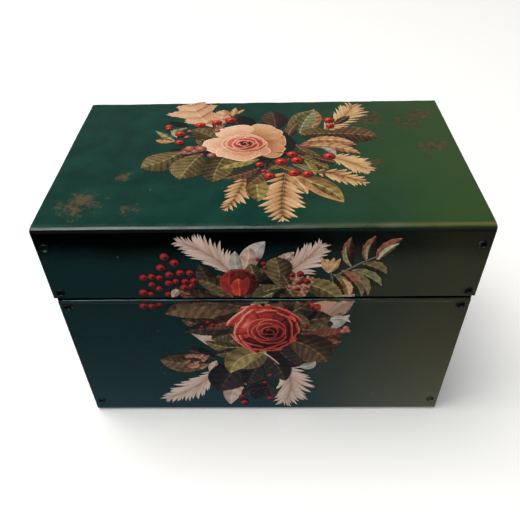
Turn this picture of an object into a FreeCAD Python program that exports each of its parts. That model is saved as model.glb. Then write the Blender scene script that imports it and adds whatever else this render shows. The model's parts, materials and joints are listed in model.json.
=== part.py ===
"""Hinged tinplate card box: two riveted sheet-metal shells, a rolled hinge and paper cut-outs.

The base is one sheet folded into front, floor and back, closed at each end by a flanged end panel.
The lid is made the same way and is a little wider, so that its ends lap outside the base.
Hollow rivets hold each wrap to the flanges behind it, and a two-leaf hinge on a wire joins the backs.
Frame: +Z up, +X along the front from left to right, -Y towards the front, origin under the middle.
"""

import FreeCAD, Part
import math
import os
import Sketcher

Vector = FreeCAD.Vector

# Driving dimensions in millimetres: alias, value, meaning.
SIZES = [
    ("base_width", 132.0, "outside width of the base"),
    ("lid_width", 133.6, "outside width of the lid, whose ends lap over the base"),
    ("box_depth", 80.0, "front face to back face"),
    ("box_height", 90.5, "table to the top of the lid"),
    ("sheet", 0.5, "tinplate thickness"),
    ("lap_gap", 0.05, "lacquer gap between two lapped sheets"),
    ("bend_outer", 1.6, "outside radius of the long bends"),
    ("bend_inner", 1.1, "inside radius of the long bends"),
    ("flange_width", 7.0, "flanges turned in on the end panels"),
    ("flange_drop", 1.5, "base flanges stop this far under the ledge"),
    ("ledge_height", 62.0, "top of the ledge that the lid closes onto"),
    ("lid_gap", 0.6, "gap between the ledge and the lid's edge"),
    ("bead_out", 0.35, "how far the bead stands out of the base front"),
    ("bead_height", 1.2, "height of that bead"),
    ("bead_wall", 0.45, "sheet left where the bead is pressed out"),
    ("bead_end_gap", 6.0, "each end of the bead to the side of the base"),
    ("neck_inset", 2.0, "neck set back from the front face"),
    ("neck_rise", 6.3, "neck height above the ledge"),
    ("neck_side_gap", 0.1, "gap between the front neck and the end panels"),
    ("hinge_height", 62.3, "height of the hinge wire"),
    ("hinge_inset", 1.0, "hinge wire inside the back face"),
    ("hinge_gap", 1.5, "wire to the edge of each back wall"),
    ("barrel_radius", 1.0, "outside radius of the hinge barrel"),
    ("bore_radius", 0.65, "inside radius of the hinge barrel"),
    ("wire_radius", 0.6, "hinge wire radius"),
    ("wire_overhang", 0.3, "wire past each end of the barrel"),
    ("leaf_sheet", 0.4, "hinge leaf thickness"),
    ("leaf_length", 117.0, "hinge length"),
    ("leaf_reach", 10.0, "hinge wire to the far edge of a leaf"),
    ("tab_start", 0.75, "hinge wire to where a leaf's tab enters the barrel"),
    ("knuckle_gap", 0.3, "gap between two knuckles"),
    ("hinge_rivet_reach", 5.5, "hinge wire to the rivets of a leaf"),
    ("hinge_rivet_step", 34.0, "spacing of the rivets along a leaf"),
    ("base_rivet_side", 63.2, "the base's corner rivets from the middle"),
    ("base_rivet_low", 6.3, "height of the base's lower corner rivets"),
    ("base_rivet_high", 58.6, "height of the base's upper corner rivets"),
    ("lid_rivet_side", 64.0, "the lid's corner rivets from the middle"),
    ("lid_rivet_low", 65.0, "height of the lid's lower front rivets"),
    ("lid_rivet_lift", 1.6, "the lid's lower back rivets above its lower front ones"),
    ("lid_rivet_high", 83.6, "height of the lid's upper corner rivets"),
    ("rivet_hole", 1.2, "radius of the rivet holes"),
    ("shank_radius", 1.17, "rivet shank radius"),
    ("corner_head", 1.6, "corner rivet head radius"),
    ("corner_head_height", 0.25, "corner rivet head thickness"),
    ("corner_head_round", 0.12, "rounding on a corner rivet's rim"),
    ("cup_radius", 0.95, "radius of a corner rivet's hollow"),
    ("cup_depth", 0.9, "depth of that hollow below the head's face"),
    ("dome_head", 1.8, "hinge rivet head radius"),
    ("dome_head_height", 0.5, "hinge rivet head thickness"),
    ("dome_head_round", 0.45, "rounding on a hinge rivet's head"),
    ("tail_radius", 1.6, "clinched tail radius"),
    ("tail_height", 0.3, "clinched tail thickness"),
    ("paper", 0.12, "paper cut-outs with their glue"),
    ("paper_scale", 1.0, "scale of the paper outlines"),
]
KNUCKLES = 9
RIVETS_PER_LEAF = 4

# Silhouettes of the three paper cut-outs, chosen by hand: across the face, then along it.
TOP_OUTLINE = [
    (-38, 17), (-33, 11), (-36, 9), (-27, 4), (-36, 3), (-39, -7), (-32, -9), (-26, -13),
    (-20, -10), (-15, -15), (-10, -14), (-14, -24), (-11, -32), (-6, -22), (-3, -24), (0, -22),
    (1, -33), (6, -37), (11, -31), (11, -21), (20, -28), (24, -26), (19, -17), (27, -20),
    (32, -17), (26, -12), (34, -10), (31, -4), (31, 7), (39, 11), (36, 18), (29, 19),
    (35, 32), (28, 36), (22, 31), (8, 30), (2, 30), (-3, 25), (-8, 27), (-10, 34),
    (-15, 31), (-24, 35), (-26, 38), (-36, 35), (-35, 24),
]
LID_FRONT_OUTLINE = [
    (-38, 63), (-38, 71), (-33, 75), (-29, 82), (-25, 79), (-21, 76), (-25, 87), (-19, 87),
    (-10, 79), (-3, 84), (1, 84), (5, 81), (11, 82), (18, 87), (17, 78), (22, 78),
    (25, 83), (32, 84), (40, 85), (37, 77), (38, 71), (33, 65), (32, 63),
]
BASE_FRONT_OUTLINE = [
    (-39, 60), (-31, 57), (-27, 50), (-22, 44), (-20, 38), (-30, 37), (-37, 31), (-33, 27),
    (-24, 26), (-33, 16), (-37, 8), (-20, 10), (-13, 12), (-12, 5), (-7, 3), (-3, 8),
    (4, 8), (8, 5), (15, 15), (12, 25), (18, 27), (21, 31), (19, 38), (26, 41),
    (29, 48), (27, 53), (30, 60),
]

document = FreeCAD.newDocument("card_box")
sizes = document.addObject("Spreadsheet::Sheet", "sizes")
for row, (alias, value, meaning) in enumerate(SIZES, start=1):
    sizes.set(f"A{row}", meaning)
    sizes.set(f"B{row}", str(value))
    sizes.setAlias(f"B{row}", alias)
document.recompute()
VALUE = {alias: value for alias, value, meaning in SIZES}
bodies = {}


def at(plus=0.0, **shares):
    """A coordinate: the sum of shares of named sizes, and a plain number of millimetres."""
    return (plus, shares)


def number(place):
    """The coordinate's value now, to start the solver from."""
    plus, shares = place
    return plus + sum(share * VALUE[alias] for alias, share in shares.items())


def formula(place):
    """The same coordinate as an expression on the spreadsheet."""
    plus, shares = place
    terms = [f"{share:.6f} * sizes.{alias}" for alias, share in shares.items()]
    if plus:
        terms.append(f"{plus:.6f}")
    return " + ".join(f"({term})" for term in terms) or "0"


def flipped(place):
    """The coordinate on the other side of zero."""
    plus, shares = place
    return (-plus, {alias: -share for alias, share in shares.items()})


def total(one, other):
    """The sum of two coordinates."""
    shares = dict(one[1])
    for alias, share in other[1].items():
        shares[alias] = shares.get(alias, 0.0) + share
    return (one[0] + other[0], shares)


def new_body(name, x=None, y=None, z=None, turn=None):
    """A named body placed by expressions, with an optional turn (axis, degrees)."""
    body = document.addObject("PartDesign::Body", name)
    body.Label = name
    bodies[name] = body
    if turn:
        body.Placement.Rotation = FreeCAD.Rotation(*turn)
    for axis, place in (("x", x), ("y", y), ("z", z)):
        if place is not None:
            body.setExpression(f"Placement.Base.{axis}", formula(place))
    return body


def origin_feature(body, role):
    return [f for f in body.Origin.OriginFeatures if f.Role == role][0]


def new_sketch(body, plane, offset=None):
    """A sketch on one of the body's own planes, moved along the plane's normal by offset."""
    sketch = body.newObject("Sketcher::SketchObject", "outline")
    sketch.AttachmentSupport = (origin_feature(body, plane), [""])
    sketch.MapMode = "FlatFace"
    if offset is not None:
        sketch.setExpression("AttachmentOffset.Base.z", formula(offset))
    return sketch


def pin_point(sketch, geometry, end, across, up):
    """Ties one point of a sketch to two coordinates."""
    for kind, place in (("DistanceX", across), ("DistanceY", up)):
        constraint = Sketcher.Constraint(kind, -1, 1, geometry, end, number(place))
        index = sketch.addConstraint(constraint)
        sketch.setExpression(f"Constraints[{index}]", formula(place))


def draw_polygon(sketch, corners):
    """A closed polygon through (across, up) coordinates."""
    first = sketch.GeometryCount
    points = [Vector(number(across), number(up), 0) for across, up in corners]
    for start, end in zip(points, points[1:] + points[:1]):
        sketch.addGeometry(Part.LineSegment(start, end), False)
    for i, (across, up) in enumerate(corners):
        following = first + (i + 1) % len(corners)
        sketch.addConstraint(Sketcher.Constraint("Coincident", first + i, 2, following, 1))
        pin_point(sketch, first + i, 1, across, up)


def draw_box(sketch, left, right, low, high):
    draw_polygon(sketch, [(left, low), (right, low), (right, high), (left, high)])


def draw_circle(sketch, across, up, radius):
    centre = Vector(number(across), number(up), 0)
    circle = Part.Circle(centre, Vector(0, 0, 1), number(radius))
    index = sketch.addGeometry(circle, False)
    pin_point(sketch, index, 3, across, up)
    constraint = sketch.addConstraint(Sketcher.Constraint("Radius", index, number(radius)))
    sketch.setExpression(f"Constraints[{constraint}]", formula(radius))


def extrude(body, kind, sketch, length=None, side="One side", backwards=False):
    """A Pad or Pocket of the sketch. A Pocket with no length goes through everything."""
    document.recompute()
    feature = body.newObject(f"PartDesign::{kind}", kind.lower())
    feature.Profile = sketch
    feature.SideType = side
    feature.Reversed = backwards
    if length is None:
        feature.Type = "ThroughAll"
    else:
        feature.Type = "Length"
        feature.setExpression("Length", formula(length))
    document.recompute()
    return feature


def round_bends(body, radius, wanted):
    """Fillets the edges along X of the body's tip that lie where wanted says."""
    tip = body.Tip
    names = []
    for i, edge in enumerate(tip.Shape.Edges, start=1):
        ends = [vertex.Point for vertex in edge.Vertexes]
        if len(ends) == 2 and near(ends[0].y, ends[1].y) and near(ends[0].z, ends[1].z):
            if wanted(ends[0]):
                names.append(f"Edge{i}")
    assert names, f"{body.Label}: no edge to round"
    fillet = body.newObject("PartDesign::Fillet", "bend")
    fillet.Base = (tip, names)
    fillet.setExpression("Radius", formula(radius))
    document.recompute()
    assert fillet.isValid(), f"{body.Label}: rounding failed"


def near(a, b):
    return abs(a - b) < 1e-4


FRONT = at(box_depth=-0.5)
BACK = at(box_depth=0.5)
INNER_FRONT = at(box_depth=-0.5, sheet=1)
INNER_BACK = at(box_depth=0.5, sheet=-1)
FLANGE_FACE = at(box_depth=0.5, sheet=-1, lap_gap=-1)
FLANGE_INSIDE = at(box_depth=0.5, sheet=-2, lap_gap=-1)
NECK_FACE = at(box_depth=-0.5, neck_inset=1)
NECK_TOP = at(ledge_height=1, neck_rise=1)
LID_EDGE = at(ledge_height=1, lid_gap=1)
BASE_BACK_TOP = at(hinge_height=1, hinge_gap=-1)
LID_BACK_EDGE = at(hinge_height=1, hinge_gap=1)
FLANGE_TOP = at(ledge_height=1, flange_drop=-1)
SIDES = {"left": -1, "right": 1}


def rivet_places(shell, back_lift):
    """(face, level, side) to (across, height) for the eight corner rivets of a shell."""
    places = {}
    for face, lift in (("front", at()), ("back", back_lift)):
        for level in ("low", "high"):
            height = at(**{f"{shell}_rivet_{level}": 1})
            if level == "low":
                height = total(height, lift)
            for side, sign in SIDES.items():
                places[face, level, side] = (at(**{f"{shell}_rivet_side": sign}), height)
    return places


BASE_RIVETS = rivet_places("base", at())
LID_RIVETS = rivet_places("lid", at(lid_rivet_lift=1))


def leaf_rivets(direction):
    """(across, height from the wire) of the rivets along one hinge leaf, the row centred."""
    middle = (RIVETS_PER_LEAF - 1) / 2
    height = at(hinge_rivet_reach=direction)
    return [(at(hinge_rivet_step=i - middle), height) for i in range(RIVETS_PER_LEAF)]


def above_wire(places):
    """The same places measured from the table."""
    return [(across, total(at(hinge_height=1), height)) for across, height in places]


def punch(body, face, places):
    """Round rivet holes through everything on the front or the back side of the body."""
    sketch = new_sketch(body, "XZ_Plane")
    for across, height in places:
        draw_circle(sketch, across, height, at(rivet_hole=1))
    extrude(body, "Pocket", sketch, backwards=face == "front")


def punch_corners(body, rivets, only_side=None, shift=at()):
    """The corner rivet holes of a wrap, or those of the end panel on one side."""
    for wanted_face in ("front", "back"):
        places = [
            (total(across, shift), height)
            for (face, level, side), (across, height) in rivets.items()
            if face == wanted_face and only_side in (None, side)
        ]
        punch(body, wanted_face, places)


def make_base_wrap():
    """Front, floor and back of the base, with the bead, the ledge and the front neck."""
    body = new_body("base_wrap")
    ledge = at(ledge_height=1)
    ledge_under = at(ledge_height=1, sheet=-1)
    neck_inside = at(box_depth=-0.5, neck_inset=1, sheet=1)
    profile = new_sketch(body, "YZ_Plane")
    draw_polygon(
        profile,
        [
            (NECK_FACE, NECK_TOP),
            (NECK_FACE, ledge),
            (FRONT, ledge),
            (FRONT, at()),
            (BACK, at()),
            (BACK, BASE_BACK_TOP),
            (INNER_BACK, BASE_BACK_TOP),
            (INNER_BACK, at(sheet=1)),
            (INNER_FRONT, at(sheet=1)),
            (INNER_FRONT, ledge_under),
            (neck_inside, ledge_under),
            (neck_inside, NECK_TOP),
        ],
    )
    extrude(body, "Pad", profile, at(base_width=1), side="Symmetric")
    inside, outside = VALUE["box_depth"] / 2 - VALUE["sheet"], VALUE["box_depth"] / 2
    floor = VALUE["sheet"]
    round_bends(body, at(bend_inner=1), lambda p: near(abs(p.y), inside) and near(p.z, floor))
    round_bends(body, at(bend_outer=1), lambda p: near(abs(p.y), outside) and near(p.z, 0))
    press_bead(body)

    ends = new_sketch(body, "XZ_Plane")
    near_side = at(base_width=0.5, sheet=-1, neck_side_gap=-1)
    past_side = at(base_width=0.5, sheet=1)
    low = total(ledge_under, at(neck_side_gap=-1))
    high = total(NECK_TOP, at(sheet=1))
    draw_box(ends, near_side, past_side, low, high)
    draw_box(ends, flipped(past_side), flipped(near_side), low, high)
    extrude(body, "Pocket", ends, side="Symmetric")
    punch_corners(body, BASE_RIVETS)
    punch(body, "back", above_wire(leaf_rivets(-1)))


def press_bead(body):
    """The bead pressed out of the base front under its ledge: a pad outside, a pocket behind."""
    length = at(base_width=1, bead_end_gap=-2)
    steps = [
        ("Pad", at(box_depth=-0.5, bead_out=-1), FRONT, at(ledge_height=1), at()),
        (
            "Pocket",
            at(box_depth=-0.5, bead_out=-1, bead_wall=1),
            INNER_FRONT,
            at(ledge_height=1, sheet=-1),
            at(bead_wall=0.5),
        ),
    ]
    for kind, outer, inner, top, lift in steps:
        shoulder = total(at(ledge_height=1, bead_height=-1), lift)
        foot = total(shoulder, at(bead_out=-1))
        sketch = new_sketch(body, "YZ_Plane")
        draw_polygon(sketch, [(inner, top), (outer, top), (outer, shoulder), (inner, foot)])
        extrude(body, kind, sketch, length, side="Symmetric")


def make_lid_wrap():
    """Front, top and back of the lid."""
    body = new_body("lid_wrap")
    top = at(box_height=1)
    under_top = at(box_height=1, sheet=-1)
    profile = new_sketch(body, "YZ_Plane")
    draw_polygon(
        profile,
        [
            (FRONT, LID_EDGE),
            (INNER_FRONT, LID_EDGE),
            (INNER_FRONT, under_top),
            (INNER_BACK, under_top),
            (INNER_BACK, LID_BACK_EDGE),
            (BACK, LID_BACK_EDGE),
            (BACK, top),
            (FRONT, top),
        ],
    )
    extrude(body, "Pad", profile, at(lid_width=1), side="Symmetric")
    inside, outside = VALUE["box_depth"] / 2 - VALUE["sheet"], VALUE["box_depth"] / 2
    height = VALUE["box_height"]
    under = height - VALUE["sheet"]
    round_bends(body, at(bend_inner=1), lambda p: near(abs(p.y), inside) and near(p.z, under))
    round_bends(body, at(bend_outer=1), lambda p: near(abs(p.y), outside) and near(p.z, height))
    punch_corners(body, LID_RIVETS)
    punch(body, "back", above_wire(leaf_rivets(1)))


def round_pan(body, outer_height, inner_height):
    """Rounds the corners of an end panel so that they pass inside the wrap's bends."""
    outer, outer_z = number(FLANGE_FACE), number(outer_height)
    inner, inner_z = number(FLANGE_INSIDE), number(inner_height)
    round_bends(body, at(bend_inner=1), lambda p: near(abs(p.y), inner) and near(p.z, inner_z))
    round_bends(body, at(bend_outer=1), lambda p: near(abs(p.y), outer) and near(p.z, outer_z))


def make_base_end(side):
    """One end panel of the base: a plate with flanges turned in at front, floor and back."""
    sign = SIDES[side]
    inward = sign > 0
    body = new_body(f"base_end_{side}", x=at(base_width=0.5 * sign))
    floor = at(sheet=1, lap_gap=1)
    above_floor = at(sheet=2, lap_gap=1)
    plate = new_sketch(body, "YZ_Plane")
    draw_polygon(
        plate,
        [
            (flipped(FLANGE_FACE), floor),
            (FLANGE_FACE, floor),
            (FLANGE_FACE, FLANGE_TOP),
            (flipped(NECK_FACE), FLANGE_TOP),
            (flipped(NECK_FACE), NECK_TOP),
            (NECK_FACE, NECK_TOP),
            (NECK_FACE, at(ledge_height=1)),
            (flipped(FLANGE_FACE), at(ledge_height=1)),
        ],
    )
    extrude(body, "Pad", plate, at(sheet=1), backwards=inward)
    flanges = new_sketch(body, "YZ_Plane")
    draw_polygon(
        flanges,
        [
            (flipped(FLANGE_FACE), FLANGE_TOP),
            (flipped(FLANGE_FACE), floor),
            (FLANGE_FACE, floor),
            (FLANGE_FACE, FLANGE_TOP),
            (FLANGE_INSIDE, FLANGE_TOP),
            (FLANGE_INSIDE, above_floor),
            (flipped(FLANGE_INSIDE), above_floor),
            (flipped(FLANGE_INSIDE), FLANGE_TOP),
        ],
    )
    extrude(body, "Pad", flanges, at(flange_width=1), backwards=inward)
    round_pan(body, floor, above_floor)
    punch_corners(body, BASE_RIVETS, side, at(base_width=-0.5 * sign))


def make_lid_end(side):
    """One end panel of the lid: a plate with flanges turned in at front, top and back."""
    sign = SIDES[side]
    inward = sign > 0
    body = new_body(f"lid_end_{side}", x=at(lid_width=0.5 * sign))
    top = at(box_height=1, sheet=-1, lap_gap=-1)
    under_top = at(box_height=1, sheet=-2, lap_gap=-1)
    plate = new_sketch(body, "YZ_Plane")
    draw_box(plate, flipped(FLANGE_FACE), FLANGE_FACE, LID_EDGE, top)
    extrude(body, "Pad", plate, at(sheet=1), backwards=inward)
    flanges = new_sketch(body, "YZ_Plane")
    draw_polygon(
        flanges,
        [
            (flipped(FLANGE_FACE), LID_EDGE),
            (flipped(FLANGE_FACE), top),
            (FLANGE_FACE, top),
            (FLANGE_FACE, LID_BACK_EDGE),
            (FLANGE_INSIDE, LID_BACK_EDGE),
            (FLANGE_INSIDE, under_top),
            (flipped(FLANGE_INSIDE), under_top),
            (flipped(FLANGE_INSIDE), LID_EDGE),
        ],
    )
    extrude(body, "Pad", flanges, at(flange_width=1), backwards=inward)
    round_pan(body, top, under_top)
    punch_corners(body, LID_RIVETS, side, at(lid_width=-0.5 * sign))


def make_rivet(name, face, across, height, head, grip, cup=None):
    """A rivet along its own Z, turned to stand out of the front or the back face.

    Z = 0 is the outer face of the sheets. The head lies above it and the clinched tail below
    the grip. Head is its (radius, height, rounding), and cup the (radius, depth) of a hollow.
    """
    forward = face == "front"
    turn = (Vector(1, 0, 0), 90 if forward else -90)
    body = new_body(name, x=across, y=FRONT if forward else BACK, z=height, turn=turn)
    head_radius, head_height, head_round = head
    tail_top = flipped(grip)
    tail_end = total(tail_top, at(tail_height=-1))
    half = [
        (at(), tail_end),
        (at(tail_radius=1), tail_end),
        (at(tail_radius=1), tail_top),
        (at(shank_radius=1), tail_top),
        (at(shank_radius=1), at()),
        (head_radius, at()),
        (head_radius, head_height),
    ]
    if cup:
        cup_radius, cup_depth = cup
        cup_floor = total(head_height, flipped(cup_depth))
        half += [(cup_radius, head_height), (cup_radius, cup_floor), (at(), cup_floor)]
    else:
        half += [(at(), head_height)]
    profile = new_sketch(body, "XZ_Plane")
    draw_polygon(profile, half)
    document.recompute()
    turned = body.newObject("PartDesign::Revolution", "turned")
    turned.Profile = profile
    turned.ReferenceAxis = (origin_feature(body, "Z_Axis"), [""])
    turned.Angle = 360.0
    document.recompute()
    rim_length = 2 * math.pi * number(head_radius)
    rims = [
        f"Edge{i}"
        for i, edge in enumerate(turned.Shape.Edges, start=1)
        if near(edge.Length, rim_length) and near(edge.Vertexes[0].Z, number(head_height))
    ]
    fillet = body.newObject("PartDesign::Fillet", "rim")
    fillet.Base = (turned, rims)
    fillet.setExpression("Radius", formula(head_round))
    document.recompute()
    assert rims and fillet.isValid(), f"{name}: rounding failed"


def make_corner_rivets(shell, rivets):
    """The eight hollow rivets that hold a wrap to its end panels, each a piece of its own."""
    head = (at(corner_head=1), at(corner_head_height=1), at(corner_head_round=1))
    grip = at(sheet=2, lap_gap=1)
    cup = (at(cup_radius=1), at(cup_depth=1))
    for (face, level, side), (across, height) in rivets.items():
        name = f"{shell}_rivet_{face}_{level}_{side}"
        make_rivet(name, face, across, height, head, grip, cup)


def make_hinge_rivets(shell, direction):
    """The row of domed rivets that holds one hinge leaf to the back wall of its shell."""
    head = (at(dome_head=1), at(dome_head_height=1), at(dome_head_round=1))
    grip = at(sheet=1, lap_gap=1, leaf_sheet=1)
    for i, (across, height) in enumerate(above_wire(leaf_rivets(direction)), start=1):
        make_rivet(f"hinge_rivet_{shell}_{i}", "back", across, height, head, grip)


def make_leaf(shell, direction):
    """A hinge leaf about the wire: a plate with every other knuckle. Direction is up or down."""
    body = new_body(
        f"hinge_leaf_{shell}", y=at(box_depth=0.5, hinge_inset=-1), z=at(hinge_height=1)
    )
    plate_face = at(hinge_inset=1, sheet=-1, lap_gap=-1)
    edge = at(hinge_gap=direction)
    reach = at(leaf_reach=direction)
    low, high = (edge, reach) if direction > 0 else (reach, edge)
    plate = new_sketch(body, "XZ_Plane", offset=flipped(plate_face))
    draw_box(plate, at(leaf_length=-0.5), at(leaf_length=0.5), low, high)
    extrude(body, "Pad", plate, at(leaf_sheet=1))

    share = 1.0 / KNUCKLES
    first = 0 if shell == "base" else 1
    start = at(leaf_length=-0.5 + first * share, knuckle_gap=0.5)
    length = at(leaf_length=share, knuckle_gap=-1)
    tab_in = at(tab_start=direction)
    tab_low, tab_high = (tab_in, edge) if direction > 0 else (edge, tab_in)
    tab = new_sketch(body, "YZ_Plane", offset=start)
    draw_box(tab, total(plate_face, at(leaf_sheet=-1)), plate_face, tab_low, tab_high)
    tab_pad = extrude(body, "Pad", tab, length)
    barrel = new_sketch(body, "YZ_Plane", offset=start)
    draw_circle(barrel, at(), at(), at(barrel_radius=1))
    barrel_pad = extrude(body, "Pad", barrel, length)
    pattern = body.newObject("PartDesign::LinearPattern", "knuckles")
    pattern.Originals = [tab_pad, barrel_pad]
    pattern.Direction = (origin_feature(body, "X_Axis"), [""])
    pattern.Occurrences = (KNUCKLES - first + 1) // 2
    pitches = 2 * (pattern.Occurrences - 1)
    pattern.setExpression("Length", formula(at(leaf_length=pitches * share)))
    body.Tip = pattern
    document.recompute()
    bore = new_sketch(body, "YZ_Plane")
    draw_circle(bore, at(), at(), at(bore_radius=1))
    extrude(body, "Pocket", bore, side="Symmetric")
    punch(body, "back", leaf_rivets(direction))


def make_wire():
    """The wire that both leaves turn on."""
    body = new_body("hinge_wire", y=at(box_depth=0.5, hinge_inset=-1), z=at(hinge_height=1))
    round_section = new_sketch(body, "YZ_Plane")
    draw_circle(round_section, at(), at(), at(wire_radius=1))
    extrude(body, "Pad", round_section, at(leaf_length=1, wire_overhang=2), side="Symmetric")


def make_paper(name, plane, offset, outline, backwards=False):
    """A paper cut-out of one silhouette, glued on a face."""
    body = new_body(name)
    sketch = new_sketch(body, plane, offset=offset)
    draw_polygon(sketch, [(at(paper_scale=a), at(paper_scale=b)) for a, b in outline])
    extrude(body, "Pad", sketch, at(paper=1), backwards=backwards)


def check_and_export():
    """Stops on any failed object or bad shape, then writes one STEP file for each piece."""
    document.recompute()
    for item in document.Objects:
        bad = {"Invalid", "Error"} & set(item.State)
        assert not bad, f"{item.Label}: {item.State}"
    os.makedirs("parts", exist_ok=True)
    for old in os.listdir("parts"):
        os.remove(os.path.join("parts", old))
    for name, body in bodies.items():
        shape = body.Shape
        assert not shape.isNull() and shape.isValid() and shape.Solids, name
        shape.exportStep(f"parts/{name}.step")
        box = shape.BoundBox
        print(
            f"{name:34s} {shape.Volume:10.2f} mm3  "
            f"x {box.XMin:8.2f} {box.XMax:8.2f}  y {box.YMin:8.2f} {box.YMax:8.2f}  "
            f"z {box.ZMin:7.2f} {box.ZMax:7.2f}"
        )


make_base_wrap()
make_lid_wrap()
for side in SIDES:
    make_base_end(side)
    make_lid_end(side)
make_corner_rivets("base", BASE_RIVETS)
make_corner_rivets("lid", LID_RIVETS)
make_leaf("base", -1)
make_leaf("lid", 1)
make_hinge_rivets("base", -1)
make_hinge_rivets("lid", 1)
make_wire()
make_paper("lid_top_print", "XY_Plane", at(box_height=1), TOP_OUTLINE)
make_paper("lid_front_print", "XZ_Plane", at(box_depth=0.5), LID_FRONT_OUTLINE)
make_paper("base_front_print", "XZ_Plane", at(box_depth=0.5), BASE_FRONT_OUTLINE)
check_and_export()
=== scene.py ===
import json
import math

import bmesh
import bpy
import numpy as np
from mathutils import Matrix, Vector


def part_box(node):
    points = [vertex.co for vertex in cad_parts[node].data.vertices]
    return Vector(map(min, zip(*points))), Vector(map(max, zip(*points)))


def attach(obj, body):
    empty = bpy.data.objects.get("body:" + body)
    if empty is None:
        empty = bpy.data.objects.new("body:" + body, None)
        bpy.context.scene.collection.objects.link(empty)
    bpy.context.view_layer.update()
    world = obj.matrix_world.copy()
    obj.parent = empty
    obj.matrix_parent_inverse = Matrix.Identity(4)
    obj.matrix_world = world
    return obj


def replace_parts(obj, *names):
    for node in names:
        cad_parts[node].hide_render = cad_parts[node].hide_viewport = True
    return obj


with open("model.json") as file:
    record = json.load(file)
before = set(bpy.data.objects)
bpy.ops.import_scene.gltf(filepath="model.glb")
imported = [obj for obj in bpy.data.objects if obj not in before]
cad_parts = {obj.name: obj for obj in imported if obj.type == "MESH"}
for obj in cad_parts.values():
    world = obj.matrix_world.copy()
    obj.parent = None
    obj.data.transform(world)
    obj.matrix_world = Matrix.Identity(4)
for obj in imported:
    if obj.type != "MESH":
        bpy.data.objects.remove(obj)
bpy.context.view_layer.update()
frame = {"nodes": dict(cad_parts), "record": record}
mm = 0.001
print("frame loaded:", len(frame["nodes"]), "parts")


def linear(hexColour):  # sRGB hex to linear, one channel at a time
    channels = [int(hexColour[i:i + 2], 16) / 255 for i in (1, 3, 5)]
    return [c / 12.92 if c <= 0.04045 else ((c + 0.055) / 1.055) ** 2.4 for c in channels]


def addNode(tree, kind, sockets=(), **settings):
    # one node with its settings and its sockets' values or links, by name or as a list in order
    node = tree.nodes.new("ShaderNode" + kind)
    for name, value in settings.items():
        setattr(node, name, value)
    for key, value in sockets.items() if isinstance(sockets, dict) else enumerate(sockets):
        if isinstance(value, bpy.types.Node):  # a node stands for the first output it has in use
            value = next(output for output in value.outputs if output.enabled)
        if isinstance(value, bpy.types.NodeSocket):
            tree.links.new(value, node.inputs[key])
        else:
            node.inputs[key].default_value = (*linear(value), 1) if isinstance(value, str) else value
    return node


def newMaterial(name):
    material = bpy.data.materials.new(name)
    material.use_nodes = True
    material.node_tree.nodes.clear()
    return material, material.node_tree


def smooth(t):  # 0 below 0, 1 above 1, and an easy S between
    t = np.clip(t, 0, 1)
    return t * t * (3 - 2 * t)


def makeWaves(seed, count, longest, shortest):
    # a height over two coordinates: sines of random length, heading and phase, added up
    dice = np.random.default_rng(seed)
    pitch = 2 * math.pi / (longest * (shortest / longest) ** dice.random(count))
    heading = dice.uniform(0, 2 * math.pi, count)
    phase = dice.uniform(0, 2 * math.pi, count)

    def height(a, b):
        a, b = np.broadcast_arrays(np.asarray(a, float), np.asarray(b, float))
        turn = a[..., None] * (pitch * np.cos(heading)) + b[..., None] * (pitch * np.sin(heading))
        return np.sin(turn + phase).sum(-1) / math.sqrt(count)

    return height


def finishMesh(name, mesh, material, sharpAngle=35):
    mesh.shade_smooth()
    mesh.set_sharp_from_angle(angle=math.radians(sharpAngle))
    piece = bpy.data.objects.new(name, mesh)
    piece.data.materials.append(material)
    bpy.context.scene.collection.objects.link(piece)
    return piece


def closeUp(mesh, work):  # fills what is open, turns the faces outwards and stores the edited mesh
    bmesh.ops.holes_fill(work, edges=[edge for edge in work.edges if edge.is_boundary], sides=0)
    bmesh.ops.recalc_face_normals(work, faces=work.faces)
    work.to_mesh(mesh)
    work.free()


def openMesh(name, points, faces, weld):  # a mesh with its corners welded, and its editing copy
    mesh = bpy.data.meshes.new(name)
    mesh.from_pydata(points.reshape(-1, 3).tolist(), [], faces.tolist())
    work = bmesh.new()
    work.from_mesh(mesh)
    bmesh.ops.remove_doubles(work, verts=work.verts, dist=weld)
    return mesh, work


def gridFaces(rows, columns, flip=False, start=0):  # quads of a grid of points, row by row
    index = start + np.arange(rows * columns).reshape(rows, columns)
    quads = np.stack([index[:-1, :-1], index[:-1, 1:], index[1:, 1:], index[1:, :-1]], -1)
    quads = quads.reshape(-1, 4)
    return quads[:, ::-1] if flip else quads


lidLow, lidHigh = [np.array(corner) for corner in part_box("lid_wrap")]
baseHigh = np.array(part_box("base_wrap")[1])
neckTop = baseHigh[2]
shell = {
    "sheet": 0.5 * mm,
    "ledge": 61.6 * mm,          # the lid closes down onto this
    "neckInset": 2.0 * mm,
    "beadOut": 0.48 * mm,
    "beadLow": 60.1 * mm,
    "beadEnd": 58.0 * mm,        # where it dies away at the right
    "backGap": 1.5 * mm,         # hinge wire to the edges of the back walls
    "bend": 1.35 * mm,           # radius to the middle of the sheet
    "waviness": 0.035 * mm,      # how far the flat panels wander
    "bendWobble": 0.06 * mm,     # dents along the long bends
    "spacing": 1.3 * mm,
}
hingeAxis = frame["record"]["behaviour"]["joints"][0]["pos_m"]
frontY, backY = lidLow[1], lidHigh[1]
cornerRivets = {  # name to (x, z, which wall)
    name: ((low[0] + high[0]) / 2, (low[2] + high[2]) / 2, "front" if "front" in name else "back")
    for name in frame["nodes"] if "_rivet_front_" in name or "_rivet_back_" in name
    for low, high in [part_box(name)]
}
lidWaves = makeWaves(3, 9, 0.09, 0.022)
baseWaves = makeWaves(8, 9, 0.09, 0.022)
topWaves = makeWaves(21, 9, 0.10, 0.03)
dentWaves = makeWaves(5, 12, 0.030, 0.005)


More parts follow.
